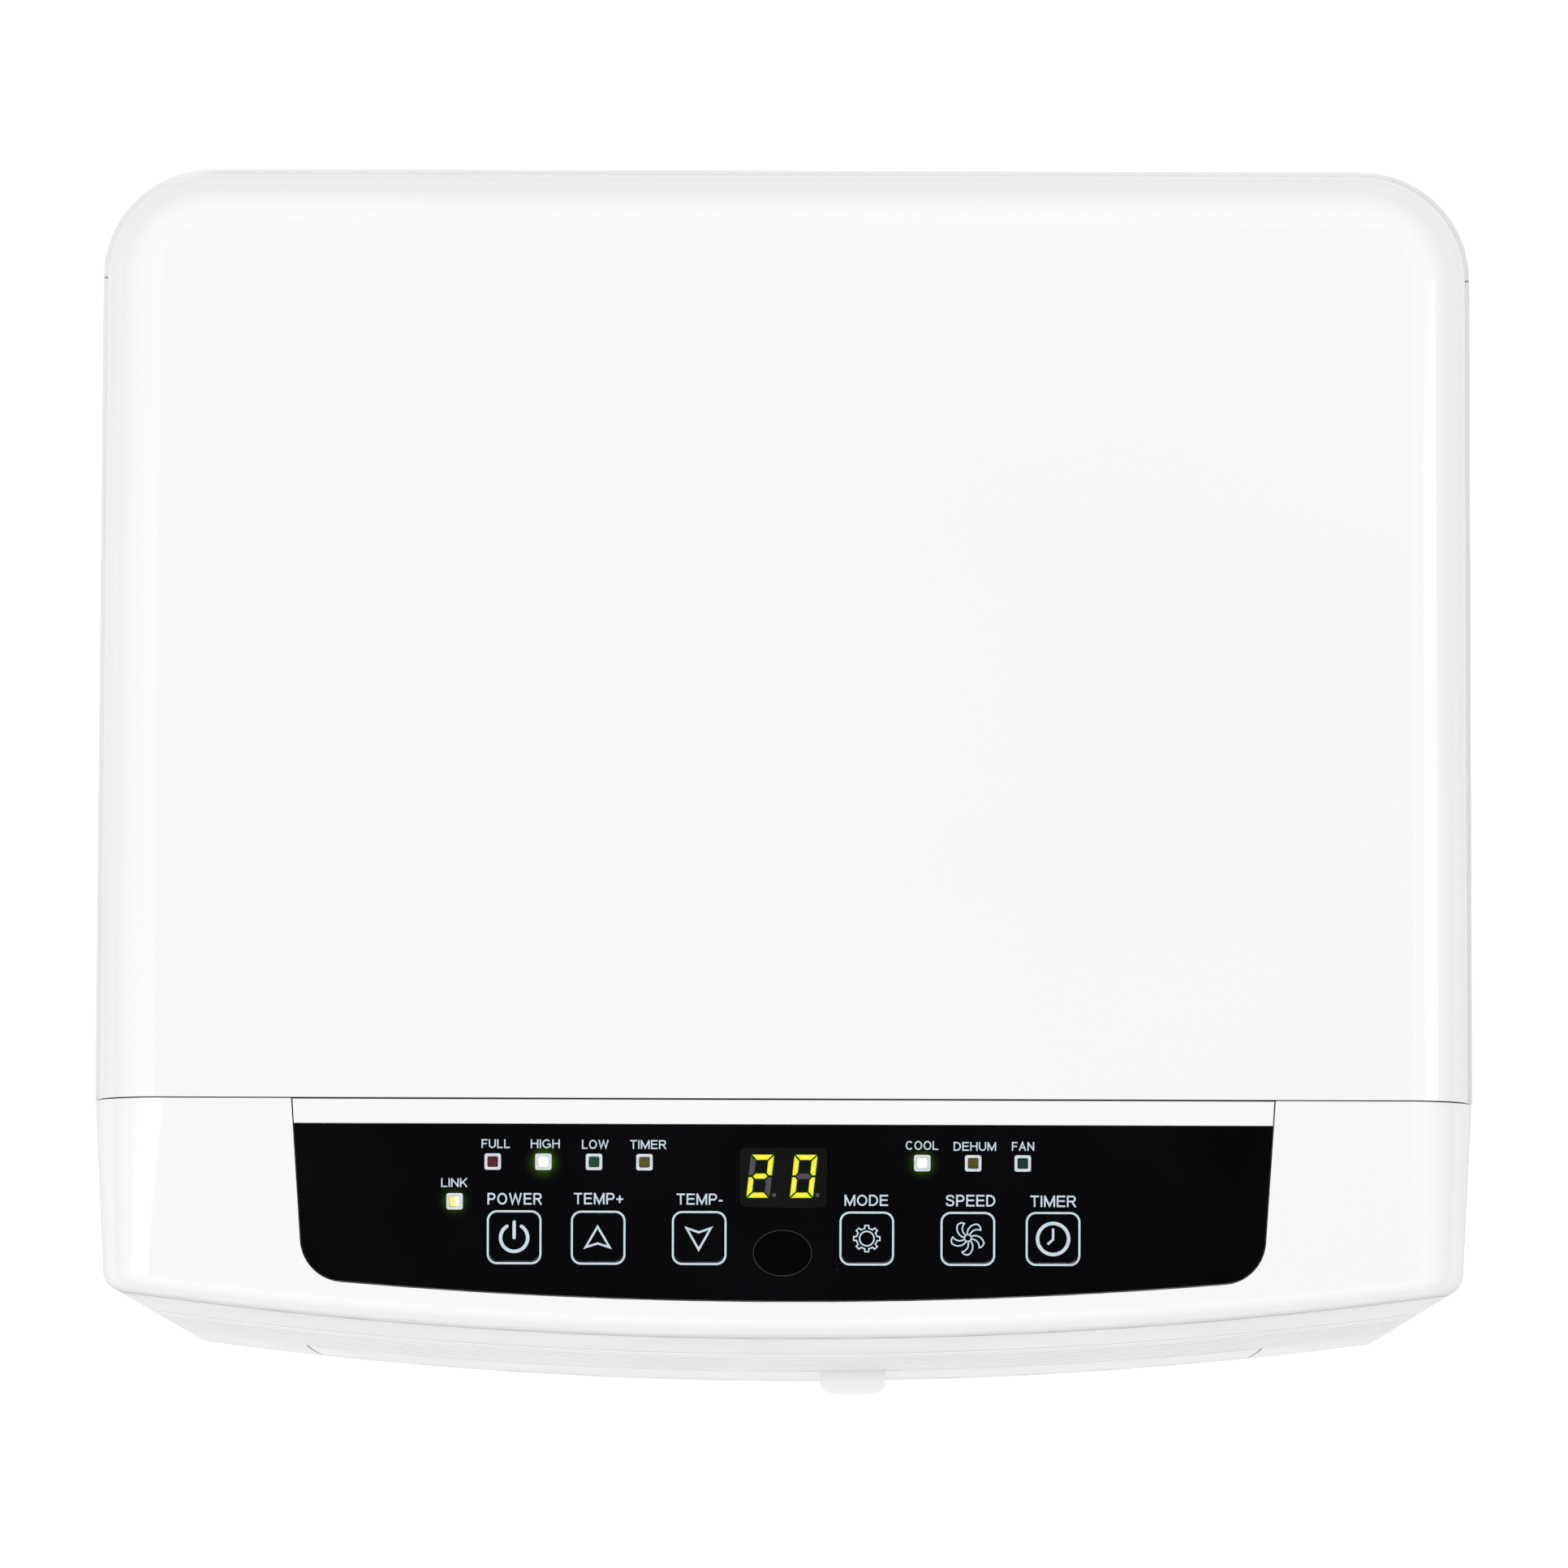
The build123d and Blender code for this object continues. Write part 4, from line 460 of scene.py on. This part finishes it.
LED_MAT = {
    "full": led_dark("lamp_red_off", (0.085, 0.010, 0.018)),
    "low": led_dark("lamp_green_off", (0.008, 0.055, 0.030)),
    "timer": led_dark("lamp_amber_off", (0.085, 0.070, 0.012)),
    "dehum": led_dark("lamp_amber_off_2", (0.078, 0.060, 0.010)),
    "fan": led_dark("lamp_green_off_2", (0.006, 0.030, 0.020)),
    "high": glowing("lamp_green_on", (1.0, 1.0, 0.72), (1.0, 1.0, 0.93), 1.25),
    "cool": glowing("lamp_green_on_2", (0.95, 1.0, 0.66), (1.0, 1.0, 0.9), 1.2),
    "link": glowing("lamp_amber_on", (1.0, 0.72, 0.05), (1.0, 0.93, 0.35), 1.1),
}
LINK_M = LED_MAT["link"]
_nt = LINK_M.node_tree
_x = sep(_nt, object_coords(LINK_M).outputs["Object"])[0]
_f = remap(_nt, _x, -0.0785, -0.0774, 0.0, 1.0, True)
_nt.links.new(mix(_nt, _f, (1.0, 0.62, 0.01), (1.0, 1.0, 0.80)), _nt.nodes["Principled BSDF"].inputs["Emission Color"])
SEG_EDGE = glowing("segment_edge", (0.16, 0.60, 0.0), (0.28, 0.76, 0.0), 0.85, base=(0.02, 0.02, 0.01))
SEG_BODY = glowing("segment_body", (1.0, 0.76, 0.0), (0.98, 0.86, 0.0), 1.0, base=(0.02, 0.02, 0.01))
SEG_CORE = glowing("segment_core", (1.0, 0.90, 0.10), (1.0, 0.93, 0.32), 1.05, base=(0.02, 0.02, 0.01))
SEG_OFF = plastic("segment_off", (0.042, 0.042, 0.047), 0.4, grain=0.05, tone=0.1)


def ink(name, col):
    """Screen-printed ink with slight density changes."""
    m, nt, b, v = base_material(name)
    g = noise(nt, v, 700.0, 4.0)
    nt.links.new(mix(nt, remap(nt, g, 0.35, 0.65, 0.0, 1.0), tuple(c * 0.93 for c in col), tuple(min(1.0, c * 1.04) for c in col)), b.inputs["Base Color"])
    nt.links.new(remap(nt, g, 0.3, 0.7, 0.3, 0.42), b.inputs["Roughness"])
    bump(nt, b, g, 0.05, 0.0001)
    return m


INK = ink("legend_ink", (0.54, 0.66, 0.73))
INK_WHITE = ink("lamp_frame_ink", (0.60, 0.66, 0.70))

# ------------------------------------------------------------------ materials onto the CAD nodes
NODE_MAT = {
    "top_cover": "white_shell", "console": "white_console", "panel_insert": "white_console", "control_overlay": "black_overlay",
    "display_housing": "display_body", "receiver_window": "receiver", "control_board": "circuit_board", "power_board": "circuit_board",
    "front_upper_panel": "white_front", "front_lower_panel": "white_front", "outlet_flap": "white_front",
    "side_panel_left": "white_shell", "side_panel_right": "white_shell", "rear_panel": "white_shell", "intake_grille": "white_shell",
    "filter_mesh": "filter_cloth", "fasteners": "screw_steel", "drain_plug_upper": "rubber_grey", "drain_plug_lower": "rubber_grey",
    "cord_inlet": "rubber_black", "evaporator_fan": "grey_plastic", "condenser_fan": "grey_plastic",
    "evaporator_fan_motor": "motor_steel", "condenser_fan_motor": "motor_steel", "splash_motor": "motor_steel",
    "evaporator": "evaporator", "condenser": "condenser", "compressor": "compressor_black", "compressor_feet": "rubber_black",
    "refrigerant_lines": "copper", "electrical_box": "sheet_steel",
}
for k in KEY:
    NODE_MAT["key_" + k] = "key_film"
for c in ("front_left", "front_right", "rear_left", "rear_right"):
    NODE_MAT["castor_fork_" + c] = "grey_plastic"
    NODE_MAT["castor_wheel_" + c] = "wheel_front" if c.startswith("front") else "wheel_rear"
for name, obj in nodes.items():
    mat = M[NODE_MAT.get(name, "white_inner")]
    if not obj.material_slots:
        obj.data.materials.append(mat)
    for s in obj.material_slots:
        s.material = mat


# ------------------------------------------------------------------ flat print geometry
def add_prism(bm, loop, w0, w1, place, mat_index=0):
    """A closed solid on the panel: loop is a list of (u, v) in mm, from height w0 to w1."""
    lo = [bm.verts.new(place(u, v, w0)) for u, v in loop]
    hi = [bm.verts.new(place(u, v, w1)) for u, v in loop]
    n = len(loop)
    fs = [bm.faces.new(hi), bm.faces.new(lo[::-1])]
    for i in range(n):
        j = (i + 1) % n
        fs.append(bm.faces.new((lo[i], lo[j], hi[j], hi[i])))
    for f in fs:
        f.material_index = mat_index


def rounded(cu, cv, hw, hh, r, n=8):
    pts = []
    for sx, sy, a0 in ((1, 1, 0), (-1, 1, 90), (-1, -1, 180), (1, -1, 270)):
        for i in range(n + 1):
            a = math.radians(a0 + 90.0 * i / n)
            pts.append((cu + sx * (hw - r) + r * math.cos(a), cv + sy * (hh - r) + r * math.sin(a)))
    return pts


def add_ring(bm, outer, inner, w0, w1, place):
    """A closed ring between two loops with the same number of points."""
    n = len(outer)
    vs = [[bm.verts.new(place(u, v, w)) for u, v in loop] for loop in (outer, inner) for w in (w0, w1)]
    o0, o1, i0, i1 = vs
    for k in range(n):
        j = (k + 1) % n
        bm.faces.new((o1[k], o1[j], i1[j], i1[k]))
        bm.faces.new((o0[j], o0[k], i0[k], i0[j]))
        bm.faces.new((o0[k], o0[j], o1[j], o1[k]))
        bm.faces.new((i0[j], i0[k], i1[k], i1[j]))


def offsets(pts, half, closed):
    """Mitred left and right offsets of a line."""
    n = len(pts)
    left, rgt = [], []
    for i in range(n):
        p = Vector(pts[i])
        a = Vector(pts[(i - 1) % n]) if (closed or i > 0) else None
        c = Vector(pts[(i + 1) % n]) if (closed or i < n - 1) else None
        d1 = (p - a).normalized() if a is not None else None
        d2 = (c - p).normalized() if c is not None else None
        d1 = d1 if d1 is not None else d2
        d2 = d2 if d2 is not None else d1
        n1, n2 = Vector((-d1.y, d1.x)), Vector((-d2.y, d2.x))
        mvec = (n1 + n2).normalized()
        k = half / max(0.38, mvec.dot(n1))
        left.append(tuple(p + mvec * k))
        rgt.append(tuple(p - mvec * k))
    return left, rgt


def add_stroke(bm, pts, width, w0, w1, place, closed=False, cap="round"):
    """A line of constant width as one closed solid."""
    half = width / 2
    left, rgt = offsets(pts, half, closed)
    if closed:
        add_ring(bm, left, rgt, w0, w1, place)
        return
    if cap == "round":
        for end, other in ((0, 1), (-1, -2)):
            p = Vector(pts[end])
            d = (p - Vector(pts[other])).normalized()
            a0 = math.atan2(d.y, d.x) - math.pi / 2
            arc = [(p.x + half * math.cos(a0 + math.pi * i / 10), p.y + half * math.sin(a0 + math.pi * i / 10)) for i in range(11)]
            add_prism(bm, arc, w0, w1, place)
    n = len(pts)
    for k in range(n - 1):
        add_prism(bm, [left[k], rgt[k], rgt[k + 1], left[k + 1]], w0, w1, place)


def finish_piece(bm, name, mats, body):
    bmesh.ops.recalc_face_normals(bm, faces=bm.faces)
    me = bpy.data.meshes.new(name)
    bm.to_mesh(me)
    bm.free()
    for m in mats:
        me.materials.append(m)
    ob = bpy.data.objects.new(name, me)
    scene.collection.objects.link(ob)
    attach(ob, body)
    return ob


def arc(cu, cv, ru, rv, a0, a1, n=10):
    return [(cu + ru * math.cos(math.radians(a0 + (a1 - a0) * i / n)), cv + rv * math.sin(math.radians(a0 + (a1 - a0) * i / n))) for i in range(n + 1)]


def smooth_line(pts, n=4):
    """A Catmull-Rom line through the points."""
    out = []
    p = [Vector(q) for q in [pts[0]] + list(pts) + [pts[-1]]]
    for i in range(1, len(p) - 2):
        for k in range(n):
            t = k / n
            a, b, c, d = p[i - 1], p[i], p[i + 1], p[i + 2]
            out.append(tuple(0.5 * (2 * b + (c - a) * t + (2 * a - 5 * b + 4 * c - d) * t * t + (3 * b - a - 3 * c + d) * t ** 3)))
    out.append(tuple(pts[-1]))
    return out


STEM = 0.145


def glyph(ch, kx):
    """Width and strokes of a plain sans capital one unit high; kx widens it. Each stroke is (points, closed)."""
    h = STEM / 2
    W = {"I": STEM, "L": 0.70, "T": 0.80, "E": 0.78, "F": 0.72, "H": 0.86, "N": 0.87, "M": 1.02, "W": 1.28, "A": 0.94, "K": 0.88,
         "P": 0.79, "R": 0.88, "D": 0.86, "O": 0.98, "C": 0.93, "G": 0.99, "U": 0.86, "S": 0.82, "+": 0.66, "-": 0.37}
    w = W[ch] * (kx if ch != "I" else 1.0)
    if ch == "I":
        return w, [([(h, 0), (h, 1)], False)]
    if ch == "L":
        return w, [([(h, 1), (h, h), (w, h)], False)]
    if ch == "T":
        return w, [([(0, 1 - h), (w, 1 - h)], False), ([(w / 2, 0), (w / 2, 1 - h)], False)]
    if ch == "E":
        return w, [([(w, 1 - h), (h, 1 - h), (h, h), (w, h)], False), ([(h, 0.525), (w * 0.94, 0.525)], False)]
    if ch == "F":
        return w, [([(w, 1 - h), (h, 1 - h), (h, 0)], False), ([(h, 0.5), (w * 0.9, 0.5)], False)]
    if ch == "H":
        return w, [([(h, 0), (h, 1)], False), ([(w - h, 0), (w - h, 1)], False), ([(h, 0.53), (w - h, 0.53)], False)]
    if ch == "N":
        return w, [([(h, 0), (h, 1)], False), ([(w - h, 0), (w - h, 1)], False), ([(h * 0.9, 0.93), (w - h * 0.9, 0.07)], False)]
    if ch == "M":
        return w, [([(h, 0), (h, 1)], False), ([(w - h, 0), (w - h, 1)], False), ([(h, 0.95), (w / 2, 0.1), (w - h, 0.95)], False)]
    if ch == "W":
        return w, [([(h * 0.9, 1), (w * 0.27, 0.09), (w * 0.5, 0.9), (w * 0.73, 0.09), (w - h * 0.9, 1)], False)]
    if ch == "A":
        return w, [([(h * 0.8, 0), (w / 2, 0.95), (w - h * 0.8, 0)], False), ([(w * 0.2, 0.34), (w * 0.8, 0.34)], False)]
    if ch == "K":
        return w, [([(h, 0), (h, 1)], False), ([(w - h * 1.3, 1), (h * 1.2, 0.36)], False), ([(w * 0.38, 0.56), (w - h * 1.1, 0)], False)]
    if ch in "PR":
        ym = 0.46 if ch == "P" else 0.49
        rb = (1 - h - ym) / 2
        xc = (w if ch == "P" else w * 0.93) - h - rb
        bowl = [(h, 1 - h)] + arc(xc, ym + rb, rb, rb, 90, -90) + [(h, ym)]
        out = [([(h, 0), (h, 1)], False), (bowl, False)]
        if ch == "R":
            out.append(([(w * 0.50, ym), (w - h * 1.1, 0)], False))
        return w, out
    if ch == "D":
        r = 0.5 - h
        return w, [([(h, 0.0), (h, 1.0)], False), ([(h, h)] + arc(w - h - r, 0.5, r, r, -90, 90, 14) + [(h, 1 - h)], False)]
    if ch == "O":
        return w, [(arc(w / 2, 0.5, w / 2 - h, 0.5 - h, 0, 360 - 12, 29), True)]
    if ch == "C":
        return w, [(arc(w / 2 + 0.01, 0.5, w / 2 - h, 0.5 - h, 40, 320, 24), False)]
    if ch == "G":
        return w, [(arc(w / 2, 0.5, w / 2 - h, 0.5 - h, 42, 318, 24) + [(w - h * 1.05, 0.22), (w - h * 1.05, 0.46), (w * 0.56, 0.46)], False)]
    if ch == "U":
        r = w / 2 - h
        return w, [([(h, 1)] + arc(h + r, h + r, r, r, 180, 360, 12) + [(w - h, 1)], False)]
    if ch == "S":
        k = w / 0.84
        p = [(0.765, 0.72), (0.66, 0.875), (0.42, 0.918), (0.18, 0.86), (0.112, 0.73), (0.18, 0.61), (0.42, 0.53), (0.68, 0.445), (0.752, 0.285), (0.66, 0.135), (0.42, 0.082), (0.15, 0.145), (0.075, 0.30)]
        return w, [(smooth_line([(x * k, y) for x, y in p], 3), False)]
    if ch == "+":
        return w, [([(0, 0.46), (w, 0.46)], False), ([(w / 2, 0.14), (w / 2, 0.78)], False)]
    return w, [([(0, 0.37), (w, 0.37)], False)]


def add_text(bm, body, u, v, width, height, w0, w1, place):
    """Plain sans lettering width x height mm, centred on (u, v)."""
    gap = 0.15
    plain = sum(glyph(c, 1.0)[0] for c in body if c != "I")
    fixed = gap * (len(body) - 1) + STEM * body.count("I")
    kx = (width / height - fixed) / plain
    x = 0.0
    for i, c in enumerate(body):
        w, strokes = glyph(c, kx)
        for j, (pts, closed) in enumerate(strokes):
            line = [(u + (x + px) * height - width / 2, v + (py - 0.5) * height) for px, py in pts]
            add_stroke(bm, line, STEM * height, w0, w1 + 0.0006 * j, place, closed=closed, cap="butt")
        x += w + gap


# key legends, lamp legends and key outlines, printed on the film
T0, T1 = 0.004, 0.03
bm = bmesh.new()
for word, u, v, wd, ht in (
    ("POWER", -63.8, -23.3, 13.05, 2.78), ("TEMP+", -43.9, -23.2, 11.75, 2.72), ("TEMP-", -19.85, -23.25, 10.95, 2.66),
    ("MODE", 19.8, -23.4, 10.35, 2.66), ("SPEED", 44.6, -23.4, 11.8, 2.78), ("TIMER", 64.3, -23.5, 11.0, 2.72),
    ("FULL", -68.4, -10.2, 6.75, 2.12), ("HIGH", -56.6, -10.2, 6.9, 2.12), ("LOW", -44.7, -10.3, 6.35, 2.16),
    ("TIMER", -32.1, -10.3, 8.7, 2.12), ("LINK", -78.2, -19.5, 6.3, 2.12), ("COOL", 33.0, -10.3, 7.75, 2.12),
    ("DEHUM", 45.6, -10.5, 10.1, 2.10), ("FAN", 57.05, -10.45, 5.3, 2.10),
):
    add_text(bm, word, u, v, wd, ht, T0, T1, on_panel)
finish_piece(bm, "printed_legends", [INK], "cabinet")

bm = bmesh.new()
for k, (u, v) in KEY.items():
    add_ring(bm, rounded(u, v, 6.50, 6.42, 2.43), rounded(u, v, 6.02, 5.94, 1.98), T0, T1, on_panel)
finish_piece(bm, "printed_key_outlines", [INK], "cabinet")

bm = bmesh.new()
for k, (u, v) in LED.items():
    add_ring(bm, rounded(u, v, 1.95, 1.95, 0.55), rounded(u, v, 1.28, 1.28, 0.4), T0, T1, on_panel)
finish_piece(bm, "printed_lamp_frames", [INK_WHITE], "cabinet")


# faint moulded rim of the infrared window
RIM = (-0.1, -36.02, 6.95, 5.42)
RIM_M = ink("receiver_rim_finish", (0.024, 0.024, 0.026))
bm = bmesh.new()
add_stroke(bm, [(RIM[0] + RIM[2] * math.cos(math.radians(a)), RIM[1] + RIM[3] * math.sin(math.radians(a))) for a in range(0, 360, 6)], 0.14, T0, T1 * 0.6, on_panel, closed=True)
finish_piece(bm, "receiver_rim", [RIM_M], "cabinet")


# ------------------------------------------------------------------ key icons, which ride on the keys
def icon(key, draw):
    u, v = KEY[key]
    bm = bmesh.new()

    def place(a, c, w):
        return on_panel(u + a, v + c, w)

    draw(bm, place)
    finish_piece(bm, "icon_" + key, [INK], "key_" + key)


def circle(cu, cv, r, n=48, a0=0.0, a1=360.0):
    full = abs(a1 - a0) >= 360
    m = n if full else n + 1
    return [(cu + r * math.cos(math.radians(a0 + (a1 - a0) * i / n)), cv + r * math.sin(math.radians(a0 + (a1 - a0) * i / n))) for i in range(m)]


def draw_power(bm, place):
    add_stroke(bm, circle(0, -0.12, 3.23, 44, 122.6, 417.4), 0.82, T0, T1, place)
    add_stroke(bm, [(0, 3.62), (0, -0.07)], 0.80, T0, T1 + 0.002, place)


def draw_up(bm, place):
    add_stroke(bm, [(-0.13, 2.63), (-2.98, -2.28), (-0.13, -1.35), (2.73, -2.28)], 0.52, T0, T1, place, closed=True)


def draw_down(bm, place):
    add_stroke(bm, [(-0.12, -2.75), (2.77, 2.36), (-0.12, 1.36), (-3.02, 2.36)], 0.52, T0, T1, place, closed=True)


def draw_gear(bm, place):
    add_stroke(bm, circle(0, 0, 1.72, 40), 0.34, T0, T1, place, closed=True)
    pts = []
    for i in range(8):
        a = math.radians(90 - 45 * i)
        half = 0.46
        for r, s in ((2.42, 1.0), (3.1, 1.0), (3.1, -1.0), (2.42, -1.0)):
            hw = half * (1.0 if r > 3 else 1.05)
            pts.append((r * math.cos(a) - s * hw * math.sin(a), r * math.sin(a) + s * hw * math.cos(a)))
        b0 = math.asin(0.483 / 2.46)
        for t in (0.5,):
            aa = a - b0 - t * (math.pi / 4 - 2 * b0)
            pts.append((2.46 * math.cos(aa), 2.46 * math.sin(aa)))
    add_stroke(bm, pts, 0.32, T0, T1, place, closed=True)


def draw_fan(bm, place):
    add_stroke(bm, circle(0, 0.2, 0.82, 28), 0.33, T0, T1, place, closed=True)
    outer = [(0.86, 0.42), (1.45, 0.58), (2.1, 0.56), (2.95, 0.2), (3.55, -0.45), (3.84, -1.15), (3.6, -1.75), (3.2, -2.15), (2.72, -2.28)]
    inner = [(2.70, -1.75), (2.45, -1.1), (2.0, -0.6), (1.4, -0.32), (0.88, -0.22)]
    for i in range(5):
        a = math.radians(72 * i)
        ca, sa = math.cos(a), math.sin(a)
        pts = [(x * ca - (y) * sa, x * sa + (y) * ca + 0.2) for x, y in outer + inner]
        add_stroke(bm, pts, 0.33, T0, T1, place, cap="round")


def draw_clock(bm, place):
    add_stroke(bm, circle(0, 0, 3.70, 60), 0.82, T0, T1, place, closed=True)
    add_stroke(bm, [(0, 2.5), (0, -0.12), (-1.3, -1.3)], 0.56, T0, T1, place, cap="butt")


icon("power", draw_power)
icon("up", draw_up)
icon("down", draw_down)
icon("mode", draw_gear)
icon("speed", draw_fan)
icon("timer", draw_clock)

# ------------------------------------------------------------------ lamps
for k, (u, v) in LED.items():
    bm = bmesh.new()
    loops = [(1.18, -7.2, 0.35), (1.18, -0.08, 0.35), (1.17, -0.02, 0.34)]
    rows = [[bm.verts.new(on_panel(a, c, w)) for a, c in rounded(u, v, h, h, r, 5)] for h, w, r in loops]
    n = len(rows[0])
    for a, c in zip(rows, rows[1:]):
        for i in range(n):
            j = (i + 1) % n
            bm.faces.new((a[i], a[j], c[j], c[i]))
    bm.faces.new(rows[-1])
    bm.faces.new(rows[0][::-1])
    ob = finish_piece(bm, "lamp_" + k, [LED_MAT[k]], "cabinet")
    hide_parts("lamp_windows")

# ------------------------------------------------------------------ display digits
SEG_L, SEG_H, SEG_W, SLANT = 5.5, 5.35, 1.30, 0.110


def seg_points(name, cu, cv):
    h, l, w = SEG_H - 0.2, SEG_L / 2 - 0.2, SEG_W
    g = 0.22
    pts = {
        "a": [(-l, 2 * h), (l, 2 * h), (l - w, 2 * h - w), (-l + w, 2 * h - w)],
        "d": [(-l, 0), (l, 0), (l - w, w), (-l + w, w)],
        "g": [(-l + w * 0.6, h), (-l + w * 1.1, h + w / 2), (l - w * 1.1, h + w / 2), (l - w * 0.6, h), (l - w * 1.1, h - w / 2), (-l + w * 1.1, h - w / 2)],
        "b": [(l + g, 2 * h - g), (l + g, h + g), (l - w * 0.45, h + g), (l - w + g, h + w * 0.5 + g), (l - w + g, 2 * h - w - g)],
        "c": [(l + g, g), (l + g, h - g), (l - w * 0.45, h - g), (l - w + g, h - w * 0.5 - g), (l - w + g, w + g)],
    }
    pts["f"] = [(-x, y) for x, y in pts["b"]]
    pts["e"] = [(-x, y) for x, y in pts["c"]]
    return [(cu + x + SLANT * (y - h), cv + y - h) for x, y in pts[name]]


def shrink(pts, amount):
    """The polygon moved in by amount on every side."""
    area = sum(pts[i][0] * pts[(i + 1) % len(pts)][1] - pts[(i + 1) % len(pts)][0] * pts[i][1] for i in range(len(pts)))
    left, rgt = offsets(pts, amount, True)
    return left if area > 0 else rgt


def lens(pts, ku, kv, n=20):
    """A soft ellipse along the polygon's long side."""
    mu, mv = sum(p[0] for p in pts) / len(pts), sum(p[1] for p in pts) / len(pts)
    lu, lv = max(p[0] for p in pts) - min(p[0] for p in pts), max(p[1] for p in pts) - min(p[1] for p in pts)
    tall = lv > lu
    a, b = (ku, kv) if not tall else (kv, ku)
    return [(mu + a * math.cos(2 * math.pi * i / n) + (SLANT * b * math.sin(2 * math.pi * i / n) if tall else 0.0), mv + b * math.sin(2 * math.pi * i / n)) for i in range(n)]


D1, D2 = (-5.45, -17.75), (4.9, -17.75)
for nm, d, segs in (("digit_tens", D1, "abged"), ("digit_units", D2, "abcdef")):
    bm = bmesh.new()
    for s in segs:
        p = seg_points(s, *d)
        add_prism(bm, p, -0.35, -0.22, on_panel, 0)
        add_prism(bm, shrink(p, 0.10), -0.24, -0.20, on_panel, 1)
        add_prism(bm, lens(p, 0.80, 0.14), -0.22, -0.185, on_panel, 2)
    ob = finish_piece(bm, nm, [SEG_EDGE, SEG_BODY, SEG_CORE], "cabinet")
    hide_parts("display_digits")
bm = bmesh.new()
for s, d in (("c", D1), ("f", D1), ("g", D2)):
    add_prism(bm, seg_points(s, *d), -0.35, -0.26, on_panel)
for d in (D1, D2):
    add_prism(bm, circle(d[0] + 3.3, d[1] - 4.5, 0.5, 20), -0.35, -0.26, on_panel)
finish_piece(bm, "digit_unlit_segments", [SEG_OFF], "cabinet")

# ------------------------------------------------------------------ world, floor and lights
world = bpy.data.worlds.new("studio")
scene.world = world
world.use_nodes = True
nt = world.node_tree
bg = nt.nodes["Background"]
tc = mk(nt, "ShaderNodeTexCoord")
dotn = mk(nt, "ShaderNodeVectorMath", operation="DOT_PRODUCT")
nt.links.new(tc.outputs["Generated"], dotn.inputs[0])
dotn.inputs[1].default_value = Vector((0.0, -0.115, 0.993)).normalized()
patch = remap(nt, dotn.outputs["Value"], math.cos(math.radians(21)), math.cos(math.radians(10)), 1.0, 0.02, True)
up = sep(nt, tc.outputs["Generated"])[2]
sky = remap(nt, up, -0.05, 0.9, 0.40, 1.12)
nt.links.new(mth(nt, "MULTIPLY", sky, patch), bg.inputs["Strength"])
bg.inputs["Color"].default_value = (1.0, 1.0, 1.0, 1.0)

bm = bmesh.new()
bmesh.ops.create_circle(bm, cap_ends=True, radius=9.0, segments=96)
me = bpy.data.meshes.new("floor")
bm.to_mesh(me)
bm.free()
floor = bpy.data.objects.new("floor", me)
scene.collection.objects.link(floor)
m, nt, b, v = base_material("floor_paper")
nt.links.new(mix(nt, noise(nt, v, 3.0), (0.80, 0.80, 0.80), (0.82, 0.82, 0.82)), b.inputs["Base Color"])
b.inputs["Roughness"].default_value = 0.9
b.inputs["Specular IOR Level"].default_value = 0.0
b.inputs["Emission Color"].default_value = (1.0, 1.0, 1.0, 1.0)
lp = mk(nt, "ShaderNodeLightPath")
nt.links.new(remap(nt, lp.outputs["Is Camera Ray"], 0.0, 1.0, 0.36, 0.72), b.inputs["Emission Strength"])
me.materials.append(m)


def area(name, loc, target, sx, sy, power, spread=180.0):
    d = bpy.data.lights.new(name, "AREA")
    d.shape = "RECTANGLE"
    d.size, d.size_y = sx, sy
    d.energy = power
    d.spread = math.radians(spread)
    o = bpy.data.objects.new(name, d)
    scene.collection.objects.link(o)
    o.location = loc
    o.rotation_mode = "QUATERNION"
    o.rotation_quaternion = (Vector(target) - Vector(loc)).to_track_quat("-Z", "Y")
    return o


area("strip_left", (-1.35, -0.35, 2.9), (0.0, -0.05, 0.69), 0.34, 2.0, 16.0)
area("box_right", (1.9, 0.2, 2.7), (0.0, 0.0, 0.6), 0.5, 1.2, 9.0)
